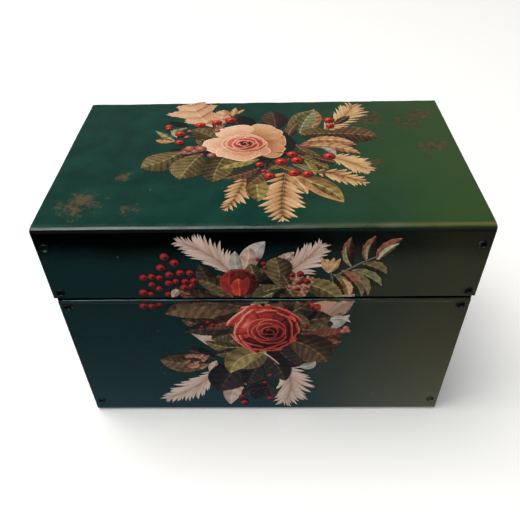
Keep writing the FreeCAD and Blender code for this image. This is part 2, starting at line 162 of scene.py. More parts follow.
def beadLift(x, z):  # the pressed bead: a rounded step under the ledge that dies away near the corners
    rise = smooth((z - shell["beadLow"]) / (0.55 * mm))
    ends = smooth((shell["beadEnd"] - x) / (4 * mm) + 0.5) * smooth((x + 65.4 * mm) / (1.0 * mm))
    ripple = 1 + 0.16 * dentWaves(x, 0.02) + 0.1 * dentWaves(x * 3, 0.05)
    return shell["beadOut"] * rise * ends * ripple


def panelLift(face, a, b):  # how far a panel stands out of its flat at (a, b)
    if face == "lidTop":
        return 1.6 * shell["waviness"] * topWaves(a, b)
    if face == "lidFront":
        return shell["waviness"] * lidWaves(a, b)
    return shell["waviness"] * baseWaves(a, b) + beadLift(a, b)


def rivetDishes(x, y, z, walls, part):  # a shallow dish round each rivet, and a hole down its middle
    lift = np.zeros(np.broadcast(x, z).shape)
    for name, (rivetX, rivetZ, wall) in cornerRivets.items():
        if name.startswith(part):
            away = np.hypot(x - rivetX, z - rivetZ)
            dish = -0.10 * mm * np.exp(-(away / (2.4 * mm)) ** 2)
            dish = dish - 1.15 * mm * smooth(1 - (away - 0.95 * mm) / (0.35 * mm))
            lift += np.where(walls & ((y < 0) == (wall == "front")), dish, 0)
    return lift


def foldedPath(corners, radii):
    # straight runs between corners, with an arc tangent to both runs at each inner corner
    corners = np.array(corners, float)
    runs = np.diff(corners, axis=0)
    headings = np.unwrap(np.arctan2(runs[:, 1], runs[:, 0]))
    points, turns = [corners[:1]], [headings[:1]]
    for corner, radius, before, after in zip(corners[1:-1], radii, headings, headings[1:]):
        turn = after - before
        side = np.sign(turn)
        reach = radius * math.tan(abs(turn) / 2)
        start = corner - reach * np.array([math.cos(before), math.sin(before)])
        centre = start + side * radius * np.array([-math.sin(before), math.cos(before)])
        angle = before + np.linspace(0, turn, 13)
        points.append(centre + side * radius * np.stack([np.sin(angle), -np.cos(angle)], -1))
        turns.append(angle)
    points.append(corners[-1:])
    turns.append(headings[-1:])
    points, turns = np.concatenate(points), np.concatenate(turns)
    steps = np.linalg.norm(np.diff(points, axis=0), axis=1)
    return np.concatenate([[0], np.cumsum(steps)]), points, turns


def stations(length, spacing, marks, own=()):
    # places along a length: even ones, close ones at both rounded ends and round each mark
    half = shell["sheet"] / 2
    ends = half * (1 - np.cos(np.linspace(0, math.pi / 2, 6)))
    even = np.linspace(0, length, max(2, round(length / spacing)))
    close = [mark + np.linspace(-2.0, 2.0, 17) * mm for mark in marks]
    every = np.sort(np.concatenate([even[(even > half) & (even < length - half)], *close, own]))
    every = every[(every > 1.2 * half) & (every < length - 1.2 * half)]
    every = every[np.concatenate([[True], np.diff(every) > 0.04 * mm])]
    return np.concatenate([ends, every, length - ends[::-1]])


def edgeThinning(along, across):
    # 1 in the sheet, falling to 0 at its edges along a quarter circle, for rounded cut edges
    half = shell["sheet"] / 2
    fromEdge = [np.minimum(d - d[0], d[-1] - d) for d in (along, across)]
    nearest = np.minimum(fromEdge[0][:, None], fromEdge[1][None, :])
    return np.sqrt(np.clip(1 - (1 - np.minimum(nearest / half, 1)) ** 2, 0, 1))


def foldedSheet(name, corners, radii, halfWidth, outward, lift, markHeights, markX, material):
    # middle surface: the path in Y and Z carried along X. Outside and inside lie half a sheet
    # either way along its normal, and meet at the rounded edges.
    distance, points, turns = foldedPath(corners, radii)
    fine = np.linspace(0, distance[-1], 6000)
    fineY, fineZ = [np.interp(fine, distance, points[:, i]) for i in (0, 1)]
    marks = [fine[np.argmin(np.hypot(fineY - y, fineZ - z))] for y, z in markHeights]
    s = stations(distance[-1], shell["spacing"], marks, distance)
    x = stations(2 * halfWidth, shell["spacing"], [halfWidth + m for m in markX]) - halfWidth
    y, z, heading = [np.interp(s, distance, column) for column in (*points.T, turns)]
    normalY, normalZ = -outward * np.sin(heading), outward * np.cos(heading)
    gridX, gridY = np.broadcast_arrays(x[None, :], y[:, None])
    gridX, gridY = gridX.copy(), gridY.copy()
    gridZ = np.broadcast_to(z[:, None], gridX.shape).copy()
    gridX, raised = lift(gridX, gridY, gridZ, heading[:, None])
    half = shell["sheet"] / 2 * edgeThinning(s, x)
    surfaces = []
    for side in (1, -1):
        out = raised + side * half
        surfaces.append(np.stack([gridX, gridY + normalY[:, None] * out, gridZ + normalZ[:, None] * out],
                                 -1))
    return shellMesh(name, surfaces, outward < 0, material)


def shellMesh(name, surfaces, flip, material):  # two grids that share their rims, as one closed skin
    rows, columns = surfaces[0].shape[:2]
    faces = np.concatenate([gridFaces(rows, columns, not flip),
                            gridFaces(rows, columns, flip, rows * columns)])
    mesh, work = openMesh(name, np.stack(surfaces), faces, 1e-6)
    bmesh.ops.dissolve_degenerate(work, edges=work.edges, dist=1e-7)
    work.to_mesh(mesh)
    work.free()
    return finishMesh(name, mesh, material)


def lidLift(x, y, z, heading):
    walls = np.abs(y) > backY - 0.8 * mm
    bends = np.exp(-((np.abs(y) - (backY - mm)) ** 2 + (z - (lidHigh[2] - mm)) ** 2) / (1.6 * mm) ** 2)
    lift = np.where(walls, panelLift("lidFront", x, z), panelLift("lidTop", x, y))
    lift = lift * (1 - bends) + shell["bendWobble"] * bends * dentWaves(x, y)
    lift -= np.where(walls, 0, 0.10 * mm * np.exp(-((y - frontY) / (2.6 * mm)) ** 2))
    return x, lift + rivetDishes(x, y, z, walls, "lid")


def baseLift(x, y, z, heading):
    walls = np.abs(y) > backY - 0.8 * mm
    neck = smooth((z - 61.3 * mm) / (0.2 * mm))
    forward = np.clip(-np.sin(heading), 0, 1)  # 1 where the sheet faces the front
    lift = np.where(walls, shell["waviness"] * baseWaves(x, z), 0)
    lift += rivetDishes(x, y, z, walls, "base")
    nearFront = y < frontY + 1.1 * mm
    lift += np.where(nearFront, beadLift(x, np.minimum(z, 62 * mm)) * forward, 0)
    return x * (1 - neck * 0.6 / 66), lift


def greenEnamel():
    # Stoving enamel on tinplate under years of varnish and handling: an even, half glossy deep green;
    look = {
        # wall and the wall olive are the enamel with painted shade; olive is partly a painted warm
        # reflection
        "green": "#0d4035", "shadeGreen": "#09332b", "wall": "#112c2d", "olive": "#324c27",
        "wallOlive": "#3b3c2b", "gathered": "#010304", "bronze": "#827242", "rust": "#574420",
        "darkRust": "#33271a", "dust": "#c9c6b4",
        "rustPatches": [(39, 25, 13), (52, 22, 13), (58, 27, 11), (58, 5, 9), (38, -6, 7), (-46, -13, 6),
                        (-55, -28, 12), (-40, -30, 6), (28, 19, 6)],  # x, y and radius in mm, on the top
    }
    top = lidHigh[2]
    material, tree = newMaterial("greenEnamelOnTinplate")
    place = addNode(tree, "TexCoord").outputs["Object"]
    parts = addNode(tree, "SeparateXYZ", {"Vector": place}).outputs
    clouds = addNode(tree, "TexNoise", {"Vector": place, "Scale": 32.0, "Detail": 3.0})      # 30 mm
    blotches = addNode(tree, "TexNoise", {"Vector": place, "Scale": 110.0, "Detail": 4.0})   # 9 mm
    speckle = addNode(tree, "TexNoise",
                      {"Vector": place, "Scale": 480.0, "Detail": 5.0, "Roughness": 0.7})  # 2 mm

    # walls and top, the walls in a darker, bluer colour that is painted shade
    onWall = addNode(tree, "MapRange", [parts["Z"], top - 0.6 * mm, top - 2.2 * mm])
    shadeSpread = addNode(tree, "MapRange", [blotches, 0.35, 0.68])
    topPaint = addNode(tree, "Mix", {0: shadeSpread, 6: look["shadeGreen"], 7: look["green"]},
                       data_type="RGBA")
    paint = addNode(tree, "Mix", {0: onWall, 6: topPaint, 7: look["wall"]}, data_type="RGBA")
    # olive creeping in from the right with a cloudy front: partly age, partly a painted warm reflection
    drift = addNode(tree, "Math", [clouds, 0.045, parts["X"]], operation="MULTIPLY_ADD")
    agedAndWarmSheen = addNode(tree, "MapRange", [drift, 0.020, 0.086], interpolation_type="SMOOTHSTEP")
    agedOliveAndSheen = addNode(tree, "Mix", {0: onWall, 6: look["olive"], 7: look["wallOlive"]}, data_type="RGBA")

    # painted shade: a near-black band on the front, under the top bend
    depth = addNode(tree, "Math", [blotches, 0.006, parts["Z"]], operation="MULTIPLY_ADD")
    band = addNode(tree, "MapRange", [depth, top - 12.5 * mm, top - 1 * mm],
                   interpolation_type="SMOOTHSTEP")
    front = addNode(tree, "MapRange", [parts["Y"], frontY + 0.8 * mm, frontY + 0.4 * mm])
    lessOld = addNode(tree, "MapRange", [agedAndWarmSheen, 0.0, 1.0, 1.0, 0.55])
    banded = band
    for mask in (front, lessOld):
        banded = addNode(tree, "Math", [banded, mask], operation="MULTIPLY")
    # a darker line of painted shade along the lower half of the bend
    lineTop = addNode(tree, "MapRange", [parts["Z"], top - 0.3 * mm, top - 0.8 * mm, 0.0, 0.8])
    lineLow = addNode(tree, "MapRange", [parts["Z"], top - 3.2 * mm, top - 1.6 * mm])
    line = addNode(tree, "Math", [lineTop, lineLow], operation="MULTIPLY")
    line = addNode(tree, "Math", [line, front], operation="MULTIPLY")
    banded = addNode(tree, "Math", [banded, line], operation="MAXIMUM")
    # and painted shade down in the seam between lid and base
    fromSeam = addNode(tree, "Math", [parts["Z"], shell["ledge"] + 0.5 * mm], operation="SUBTRACT")
    fromSeam = addNode(tree, "Math", [fromSeam], operation="ABSOLUTE")
    nearSeam = addNode(tree, "MapRange", [fromSeam, 0.0009, 0.0006])
    behind = addNode(tree, "MapRange", [parts["Y"], frontY + 0.1 * mm, frontY + 0.4 * mm])
    seamShade = addNode(tree, "Math", [nearSeam, behind], operation="MULTIPLY")
    banded = addNode(tree, "Math", [banded, seamShade], operation="MAXIMUM")

    # rust that has bled through the top in patches, broken up by the speckle
    patches = 0.0
    for x, y, radius in look["rustPatches"]:
        away = addNode(tree, "VectorMath", [place, (x * mm, y * mm, top)], operation="DISTANCE")
        near = addNode(tree, "MapRange", [away.outputs["Value"], radius * mm, 0.0, 0.0, 0.33])
        patches = addNode(tree, "Math", [patches, near], operation="MAXIMUM")
    bleeding = addNode(tree, "Math", [blotches, 0.35, patches], operation="MULTIPLY_ADD")
    bleeding = addNode(tree, "Math", [speckle, 0.65, bleeding], operation="MULTIPLY_ADD")
    rusty = addNode(tree, "MapRange", [bleeding, 0.66, 0.80], interpolation_type="SMOOTHSTEP")
    someRust = addNode(tree, "Math", [rusty, 0.85], operation="MULTIPLY")
    rustTone = addNode(tree, "MapRange", [speckle, 0.42, 0.6])
    rust = addNode(tree, "Mix", {0: rustTone, 6: look["darkRust"], 7: look["rust"]}, data_type="RGBA")

    # bronze showing through in a thin line where the top turns down at the front, more to the right
    overY = addNode(tree, "Math", [parts["Y"], frontY + 1.4 * mm], operation="SUBTRACT")
    overZ = addNode(tree, "Math", [parts["Z"], top - 0.1 * mm], operation="SUBTRACT")
    fromBend = addNode(tree, "Math",
                       [addNode(tree, "Math", [overY], operation="ABSOLUTE"),
                        addNode(tree, "Math", [overZ], operation="ABSOLUTE")], operation="ADD")
    onBend = addNode(tree, "MapRange", [fromBend, 0.0011, 0.0002])
    wearX = addNode(tree, "Math", [blotches, 0.06, parts["X"]], operation="MULTIPLY_ADD")
    wearing = addNode(tree, "MapRange", [wearX, 0.020, 0.105])
    worn = addNode(tree, "Math", [onBend, wearing], operation="MULTIPLY")
    worn = addNode(tree, "Math", [worn, 0.6], operation="MULTIPLY")

    # pale specks of dust and chips, a third of a millimetre across, here and there
    grit = addNode(tree, "TexVoronoi", {"Vector": place, "Scale": 150.0, "Randomness": 1.0})
    speck = addNode(tree, "MapRange", [grit.outputs["Distance"], 0.042, 0.02])
    dusty = addNode(tree, "MapRange", [blotches, 0.50, 0.58])
    specks = addNode(tree, "Math", [speck, dusty], operation="MULTIPLY")
    specks = addNode(tree, "Math", [specks, 0.4], operation="MULTIPLY")
    for mask, colour in [(agedAndWarmSheen, agedOliveAndSheen), (banded, look["gathered"]), (someRust, rust),
                         (worn, look["bronze"]), (specks, look["dust"])]:
        paint = addNode(tree, "Mix", {0: mask, 6: paint, 7: colour}, data_type="RGBA")

    gloss = addNode(tree, "MapRange", [blotches, 0.3, 0.7, 0.17, 0.27])
    duller = addNode(tree, "Math", [rusty, 0.4, gloss], operation="MULTIPLY_ADD")
    scuffs = addNode(tree, "MapRange", [fromBend, 0.0018, 0.0008, 0.0, 0.24])
    broken = addNode(tree, "MapRange", [blotches, 0.40, 0.62, 0.35])
    duller = addNode(tree, "Math", [scuffs, broken, duller], operation="MULTIPLY_ADD")
    roughness = addNode(tree, "Math", [banded, -0.05, duller], operation="MULTIPLY_ADD")
    dents = addNode(tree, "Bump", {"Strength": 0.25, "Distance": 0.0006, "Height": blotches})
    peel = addNode(tree, "Bump", {"Strength": 0.10, "Distance": 0.0002, "Height": speckle, "Normal": dents})
    flakes = addNode(tree, "Bump", {"Strength": 0.3, "Distance": 0.0001, "Height": rusty, "Normal": peel})
    shader = addNode(tree, "BsdfPrincipled",
                     {"Base Color": paint, "Roughness": roughness, "IOR": 1.45, "Normal": flakes})
    addNode(tree, "OutputMaterial", {"Surface": shader})
    return material


def wornTin(name, bright, dull, paintLeft, painted, roughness):
    # Tinplate that was painted over and has rubbed bare: dull grey metal with soft broken shine
    # where it is bare, and dark paint left in the hollows of the noise.
    material, tree = newMaterial(name)
    place = addNode(tree, "TexCoord").outputs["Object"]
    stain = addNode(tree, "TexNoise", {"Vector": place, "Scale": 900.0, "Detail": 4.0})   # 1 mm
    grime = addNode(tree, "TexNoise", {"Vector": place, "Scale": 420.0, "Detail": 3.0})
    covered = addNode(tree, "MapRange", [grime, painted - 0.08, painted + 0.08, 1.0, 0.0])
    steel = addNode(tree, "Mix", {0: stain, 6: dull, 7: bright}, data_type="RGBA")
    colour = addNode(tree, "Mix", {0: covered, 6: steel, 7: paintLeft}, data_type="RGBA")
    bare = addNode(tree, "Math", [1.0, covered], operation="SUBTRACT")
    shine = addNode(tree, "MapRange", [stain, 0.0, 1.0, roughness, roughness + 0.2])
    relief = addNode(tree, "Bump", {"Strength": 0.3, "Distance": 0.0001, "Height": stain})
    shader = addNode(tree, "BsdfPrincipled",
                     {"Base Color": colour, "Metallic": bare, "Roughness": shine, "Normal": relief})
    addNode(tree, "OutputMaterial", {"Surface": shader})
    return material


def printedPaper():
    # Printed paper cut-outs under brushed varnish: the ink's own colours, slightly mottled by the
    # fibres, with a soft gloss and no paper edge to speak of.
    material, tree = newMaterial("printedPaperUnderVarnish")
    ink = addNode(tree, "Attribute", attribute_name="ink")
    place = addNode(tree, "TexCoord").outputs["Object"]
    fibres = addNode(tree, "TexNoise",
                     {"Vector": place, "Scale": 1400.0, "Detail": 4.0, "Roughness": 0.6})  # 0.7 mm
    mottle = addNode(tree, "MapRange", [fibres, 0.3, 0.7, 0.86, 1.1])
    colour = addNode(tree, "VectorMath", {0: ink.outputs["Color"], "Scale": mottle}, operation="SCALE")
    relief = addNode(tree, "Bump", {"Strength": 0.08, "Distance": 0.0001, "Height": fibres})
    gloss = addNode(tree, "MapRange", [fibres, 0.0, 1.0, 0.36, 0.5])
    shader = addNode(tree, "BsdfPrincipled",
                     {"Base Color": colour, "Roughness": gloss, "IOR": 1.4, "Normal": relief})
    addNode(tree, "OutputMaterial", {"Surface": shader})
    return material


enamel = greenEnamel()
rivetTin = wornTin("darkPaintedTinRivets", "#8f8a80", "#4a463f", "#020506", 0.62, 0.34)
hingeTin = wornTin("rubbedTinHinge", "#a39e93", "#5f5a50", "#142c25", 0.46, 0.36)
paper = printedPaper()
print("materials made")


def makeShells():
    half = shell["sheet"] / 2
    lidPath = [(frontY + half, lidLow[2]), (frontY + half, lidHigh[2] - half),
               (backY - half, lidHigh[2] - half), (backY - half, hingeAxis[2] + shell["backGap"])]
    neckY = frontY + shell["neckInset"] + half
    ledge = shell["ledge"] - half
    basePath = [(neckY, neckTop), (neckY, ledge), (frontY + half, ledge), (frontY + half, half),
                (backY - half, half), (backY - half, hingeAxis[2] - shell["backGap"])]
    bend = shell["bend"]
    rivets = {part: [value for name,
                     value in cornerRivets.items() if name.startswith(part)] for part in ("lid", "base")}
    marks = {part: {(frontY if wall == "front" else backY, z) for x, z, wall in places}
             for part, places in rivets.items()}
    sides = {part: sorted({round(x, 5) for x, z, wall in places}) for part, places in rivets.items()}
    lid = foldedSheet("lidWrap", lidPath, [bend, bend], lidHigh[0], 1, lidLift, marks["lid"], sides["lid"],
                      enamel)
    base = foldedSheet("baseWrap", basePath, [0.45 * mm, 0.95 * mm, bend, bend], baseHigh[0], -1, baseLift,
                       marks["base"] | {(frontY, 61.2 * mm)}, sides["base"], enamel)
    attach(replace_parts(lid, "lid_wrap"), "lid")
    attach(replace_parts(base, "base_wrap"), "base")


def turnedRivet(name, material):
    # a profile of radius and height turned once round the rivet's axis: a rolled rim that rises
    # and falls as a half circle, with a blind hollow rounded at its bottom
    look = {"rim": 1.5 * mm, "roll": 0.26 * mm, "hollow": 0.9 * mm, "depth": 0.8 * mm, "sides": 28}
    x, z, wall = cornerRivets[name]
    side = -1 if wall == "front" else 1
    low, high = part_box(name)
    proud = (frontY - low[1]) if wall == "front" else (high[1] - backY)
    turn = np.linspace(0, math.pi, 9)
    crown = look["rim"] - look["roll"]
    fillet, quarter = 0.2 * mm, np.linspace(0, math.pi / 2, 6)[1:]
    radii = np.concatenate([[look["rim"]], crown + look["roll"] * np.cos(turn), [look["hollow"]] * 2,
                            look["hollow"] * np.cos(quarter)])
    heights = np.concatenate([[-0.3 * mm], (proud - 0.02 * mm) * np.sin(turn),
                              [-0.1 * mm, fillet - look["depth"]],
                              fillet - look["depth"] - fillet * np.sin(quarter)])
    around = np.linspace(0, 2 * math.pi, look["sides"], endpoint=False)
    radii, heights = radii[:, None] + 0 * around, heights[:, None] + 0 * around
    wall3d = frontY if wall == "front" else backY
    points = np.stack([x + radii * np.cos(around), wall3d + side * heights, z + radii * np.sin(around)], -1)
    rows, columns = points.shape[:2]
    index = np.arange(rows * columns).reshape(rows, columns)
    quads = np.stack([index[:-1], np.roll(index[:-1], -1, 1), np.roll(index[1:], -1, 1), index[1:]],
                     -1).reshape(-1, 4)
    mesh, work = openMesh(name, points, quads, 1e-6)
    closeUp(mesh, work)
    return finishMesh(name + "_turned", mesh, material, 50)


makeShells()
for name in cornerRivets:
    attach(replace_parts(turnedRivet(name, rivetTin), name), name.split("_")[0])
print("shells folded and rivets turned")

for name, node in frame["nodes"].items():
    metal = hingeTin if name.startswith("hinge") else rivetTin if "rivet" in name else enamel
    for slotIndex in range(len(node.material_slots)):
        node.material_slots[slotIndex].material = metal


inks = {  # each runs from dark to light
    "redPetal": "#1c0203 #5a0706 #a3170e #c8321f #de6654 #e8ab96",
    "peachPetal": "#9a5236 #cb8a66 #e6b896 #f3d6bc",
    "salmonPetal": "#4a0f0e #8c2c24 #c55a48 #e3937c #f0bfa8",
    "amberPetal": "#6a3620 #a86c46 #d09c70 #e6c09a",
    "budRed": "#120000 #420303 #880a06 #c02410 #e0642e",
    "berry": "#2c0406 #7c0f12 #b8241c #d8452f #f08c70",
    "darkBerry": "#140002 #400208 #86040f #b20a16 #ca2c34",
    "blushBerry": "#4a1a18 #874238 #b4705f #d49c88",
    "plumBerry": "#0c0407 #240c13 #40161f #65323a",
    "olive": "#120d07 #342713 #65532f #978256 #c2b088",
    "sage": "#1e1e12 #4c4a2e #827e56 #b5b08a #d6d0b0",
    "plum": "#0b0607 #1f1113 #3b2623 #64503b #93805f",
    "bronze": "#120a07 #2f1c13 #5c4029 #8e6c48 #bb9a72",
    "oliveGold": "#261c0d #5a461e #8f7b42 #c0ab70 #d8ca98",
    "shade": "#050706 #0f1310 #1c1e18 #34332a",
    "blushOak": "#6e4028 #a8714f #c8946e #d9ac88 #e4c2a2",
    "tanPlume": "#3a2414 #80552f #b98a5b #d4ad80 #e6ca9f",
    "creamPlume": "#3e2822 #8a6356 #b89480 #d3b8a8 #e6d2c6",
    "white": "#5f5850 #958d82 #bdb6aa #d8d2c8",
    "rosyTan": "#3c1c14 #7c4836 #b17a60 #d2a486",
    "rust": "#1b0806 #4a1d14 #7c3c2a #a86a50 #c89a80",
    "stem": "#160e0a #38261a #654a32 #947653",
    "greyStem": "#22251f #3f4338 #6b6f5d #96987f",
}
brush = makeWaves(31, 14, 5.0, 0.6)
streak = makeWaves(44, 10, 2.4, 0.5)
bouquets = {"lidTop": [], "front": []}
easel = {"sheet": None, "group": None}


def paintOn(sheet, group):
    easel.update(sheet=sheet, group=group)


def lay(points, colour):
    bouquets[easel["sheet"]].append((easel["group"], points, np.clip(colour, 0, 1)))


def tinted(ink, shade):  # a shade from 0 to 1 along an ink's colours
    stops = np.array([linear(step) for step in inks[ink].split()])
    places = np.linspace(0, 1, len(stops))
    return np.stack([np.interp(shade, places, stops[:, i]) for i in range(3)], -1)


def bowed(base, tip, bend, u):
    # a midrib from base to tip, bowed sideways by bend times its length; returns its points,
    # its heading and its length at each u from 0 to 1
    base, run = np.array(base, float), np.subtract(tip, base)
    length = np.hypot(*run)
    ahead, aside = run / length, np.array([-run[1], run[0]]) / length
    spine = base + run * u[..., None] + aside * (length * bend * 4 * u * (1 - u))[..., None]
    forward = ahead + (4 * bend * (1 - 2 * u))[..., None] * aside
    return spine, forward / np.linalg.norm(forward, axis=-1, keepdims=True), length


def leaf(base, tip, width, ink, bend=0.0, teeth=13, bite=0.17, veins=7, belly=0.40, sweep=0.55, lobes=0,
         lobeDepth=0.0, lit=1, veinLight=0.20, rows=79, columns=21, tone=0.0, rim=0.14, pleats=0.28):
    # u runs along the midrib, v from edge to edge. Half width is a power of the sine of pi times
    # a power of u, cut by saw teeth. Rows sweep forward, so side veins are rows, and each strip
    # between two veins swells from dark to light and back.
    u = np.linspace(0, 1, rows)[:, None]
    v = np.linspace(-1, 1, columns)[None, :]
    v = np.sign(v) * np.abs(v) ** 1.2
    bite = bite if teeth > 1 else 0
    across = np.abs(v)
    spine, forward, _ = bowed(base, tip, bend, u)
    outward = np.stack([-forward[..., 1], forward[..., 0]], -1)
    profile = np.sin(math.pi * u ** (math.log(0.5) / math.log(belly))) ** 0.86
    saw = (u * teeth) % 1
    half = width / 2 * profile * (1 - bite * (1 - saw) ** 0.8)
    half = half * (1 - lobeDepth * (0.5 + 0.5 * np.cos(2 * math.pi * (u * lobes - 0.15))))
    points = spine + outward * (v * half)[..., None] + forward * (sweep * across * half)[..., None]
    cell = (u * veins + 0.35) % 1
    swell = np.sin(math.pi * cell ** 0.62) ** 1.2
    shade = 0.20 + tone + pleats * swell * (1 - 0.45 * across) + 0.12 * lit * np.sign(v) * across ** 0.4
    shade = shade + 0.06 * brush(points[..., 0], points[..., 1]) + 0.10 * (u - 0.3)
    shade = shade - 0.10 * np.exp(-(v / 0.20) ** 2) * (1 - u)
    shade = shade + veinLight * np.exp(-(np.minimum(cell, 1 - cell) / 0.06) ** 2) * (1 - across) ** 0.5
    shade = shade + 0.42 * np.exp(-(v * half / 0.22) ** 2) * (1 - u) ** 0.4
    shade = shade + rim * smooth((across - 0.86) / 0.10)
    lay(points, tinted(ink, shade))


def leaves(*rows):
    # rows of base x and y, tip x and y, width and ink, then as far as needed bend, tone, veins,
    # teeth, the lit side and a dictionary of the rest
    for x, y, tipX, tipY, width, ink, *rest in rows:
        more = rest.pop() if rest and isinstance(rest[-1], dict) else {}
        leaf((x, y), (tipX, tipY), width, ink, **dict(zip(("bend", "tone", "veins", "teeth", "lit"), rest)),
             **more)


def barb(root, way, reach, fat, ink, tone, side=1):  # one slim leaflet, lighter towards its tip
    u = np.linspace(0, 1, 11)[:, None]
    v = np.linspace(-1, 1, 5)[None, :]
    spine, forward, _ = bowed(root, np.add(root, np.multiply(way, reach)), -0.08 * side, u)
    outward = np.stack([-forward[..., 1], forward[..., 0]], -1)
    half = reach * fat / 2 * np.sin(math.pi * u ** 0.8) ** 0.8
    shade = 0.30 + tone + 0.42 * u + 0.24 * side * v + 0.12 * np.exp(-(v / 0.3) ** 2)
    lay(spine + outward * (v * half)[..., None], tinted(ink, shade))


def spray(base, tip, width, ink, pairs=12, bend=0.0, fat=0.3, lean=48, tone=0.0, fullest=0.35, under=0.0):
    # leaflets in pairs up a bowed stem. Their reach rises to its fullest and falls as a power of
    # what is left, and they close up towards the tip; under lays a dark blade beneath them.
    if under:
        leaf(base, tip, width * under, ink, bend=bend, teeth=pairs + 3, bite=0.3, veins=pairs + 3,
             belly=0.42, sweep=0.9,
             rows=3 * (pairs + 3) + 1, columns=9, tone=tone - 0.10, veinLight=0, rim=0)
    dice = np.random.default_rng(int(abs(base[0] * 31 + tip[1] * 17)))
    for i in range(pairs):
        u = np.array([0.03 + 0.90 * i / (pairs - 1)])
        spine, forward, length = bowed(base, tip, bend, u)
        rise = min(1.0, 0.45 + 0.55 * u[0] / fullest)
        reach = width * 0.64 * rise * (1 - max(0.0, u[0] - fullest) / (1 - fullest)) ** 0.7 + 0.10 * width
        for side in (1, -1):
            turn = math.radians(side * (lean - 16 * u[0] + dice.normal(0, 3)))
            c, s = math.cos(turn), math.sin(turn)
            way = (forward[0, 0] * c - forward[0, 1] * s, forward[0, 0] * s + forward[0, 1] * c)
            barb(spine[0], way, reach * dice.uniform(0.80, 1.12), fat, ink,
                 tone + dice.uniform(-0.12, 0.10), side)
    spine, forward, length = bowed(base, tip, bend, np.array([0.90]))
    barb(spine[0], forward[0], length * 0.11, fat * 1.2, ink, tone + 0.05)
    u = np.linspace(0, 0.92, 20)[:, None]
    spine, forward, _ = bowed(base, tip, bend, u)
    outward = np.stack([-forward[..., 1], forward[..., 0]], -1)
    v = np.linspace(-1, 1, 3)[None, :]
    lay(spine + outward * (v * 0.16 * (1 - 0.6 * u))[..., None], tinted(ink, 0.30 + tone + 0.2 * v + 0 * u))


def ribbon(points, width, ink,
           tone=0.0):  # a stem: a smooth curve through three points, tapering to its end
    first, middle, last = [np.array(p, float) for p in points]
    u = np.linspace(0, 1, 24)[:, None, None]
    v = np.linspace(-1, 1, 5)[None, :, None]
    knee = 2 * middle - (first + last) / 2
    spine = (1 - u) ** 2 * first + 2 * u * (1 - u) * knee + u ** 2 * last
    along = 2 * (1 - u) * (knee - first) + 2 * u * (last - knee)
    along = along / np.linalg.norm(along, axis=-1, keepdims=True)
    aside = np.stack([-along[..., 1], along[..., 0]], -1)
    shade = 0.5 + tone + 0.3 * v[..., 0] + 0 * u[..., 0]
    lay(spine + aside * v * width / 2 * (1 - 0.55 * u), tinted(ink, shade))


def berry(x, y, radius, ink="berry", eye=True, tone=0.0):
    # a disc shaded as a ball lit from the upper left, with a spot of shine and a dark eye
    r = np.linspace(0, 1, 9)[:, None]
    a = np.linspace(0, 2 * math.pi, 25)[None, :]
    across, up = r * np.cos(a), r * np.sin(a)
    facing = np.clip(-0.30 * across + 0.42 * up + 0.80 * np.sqrt(1 - r ** 2 * 0.98), 0, 1)
    shade = 0.06 + tone + 0.60 * facing ** 1.2
    shade = shade + 0.42 * np.exp(-((across + 0.26) ** 2 + (up - 0.38) ** 2) / 0.045)
    if eye:
        shade = shade - 0.8 * np.exp(-((across - 0.10) ** 2 + (up + 0.12) ** 2) / 0.06)
    lay(np.stack([x + radius * across, y + radius * up], -1), tinted(ink, shade))


def berries(places, ink, **look):  # at rows of x, y and radius
    for x, y, radius in places:
        berry(x, y, radius, ink, **look)


def petal(centre, heading, spread, inner, outer, ink, seed=0, rim=0.34, tone=0.0, squash=1.0, ruffle=0.04,
          drop=0.30, point=0.0, cup=0.5, rows=20, columns=45, turned=0.0, shadow=0.22, flat=0.0, roll=0.38,
          spot=(0.0, 0.6, 0.0)):
    # a fan about the flower's middle: u across it, v outwards. Its edge falls back at both sides,
    # ruffles, and may come to a point; shade grows outwards from a dark base to a thin light rim
    # with a fold's shadow inside it, and is lighter on the upper left. flat straightens its edge to a
    # chord, roll is the rim's width, and spot is where a pale patch lies (u, v) and how strong it is.
    u = np.linspace(-1, 1, columns)[None, :]
    v = np.linspace(0, 1, rows)[:, None] ** 0.85
    angle = math.radians(heading) + math.radians(spread) * u
    wave = makeWaves(100 + seed, 5, 1.6, 0.5)
    chord = 1 + flat * (1 / np.cos(math.radians(spread) * u) - 1)
    reach = outer * (chord - drop * np.abs(u) ** 4 + point * (1 - np.abs(u)) ** 1.5 + ruffle * wave(u, 0.3))
    radius = inner + (reach - inner) * v
    across, up = radius * np.cos(angle), squash * radius * np.sin(angle)
    c, s = math.cos(math.radians(turned)), math.sin(math.radians(turned))
    points = np.stack([centre[0] + c * across - s * up, centre[1] + s * across + c * up], -1)
    fromEdge = (reach - inner) * (1 - v)
    light = 0.13 * (-0.75 * np.cos(angle) + 0.65 * np.sin(angle))
    shade = 0.10 + tone + cup * v ** 0.8 + light + 0.05 * wave(u * 3, v) * v
    shade = shade + 0.035 * streak(u * 9 + seed, v * 1.5) + rim * np.exp(-(fromEdge / roll) ** 2)
    shade = shade - shadow * np.exp(-((fromEdge - 0.62 - roll) / (0.3 + 0.5 * roll)) ** 2)
    shade = shade + spot[2] * np.exp(-((u - spot[0]) / 0.42) ** 2 - ((v - spot[1]) / 0.22) ** 2)
    shade = shade - 0.30 * smooth((np.abs(u) - 0.80) / 0.2) * (1 - 0.5 * v)
    lay(points, tinted(ink, shade))


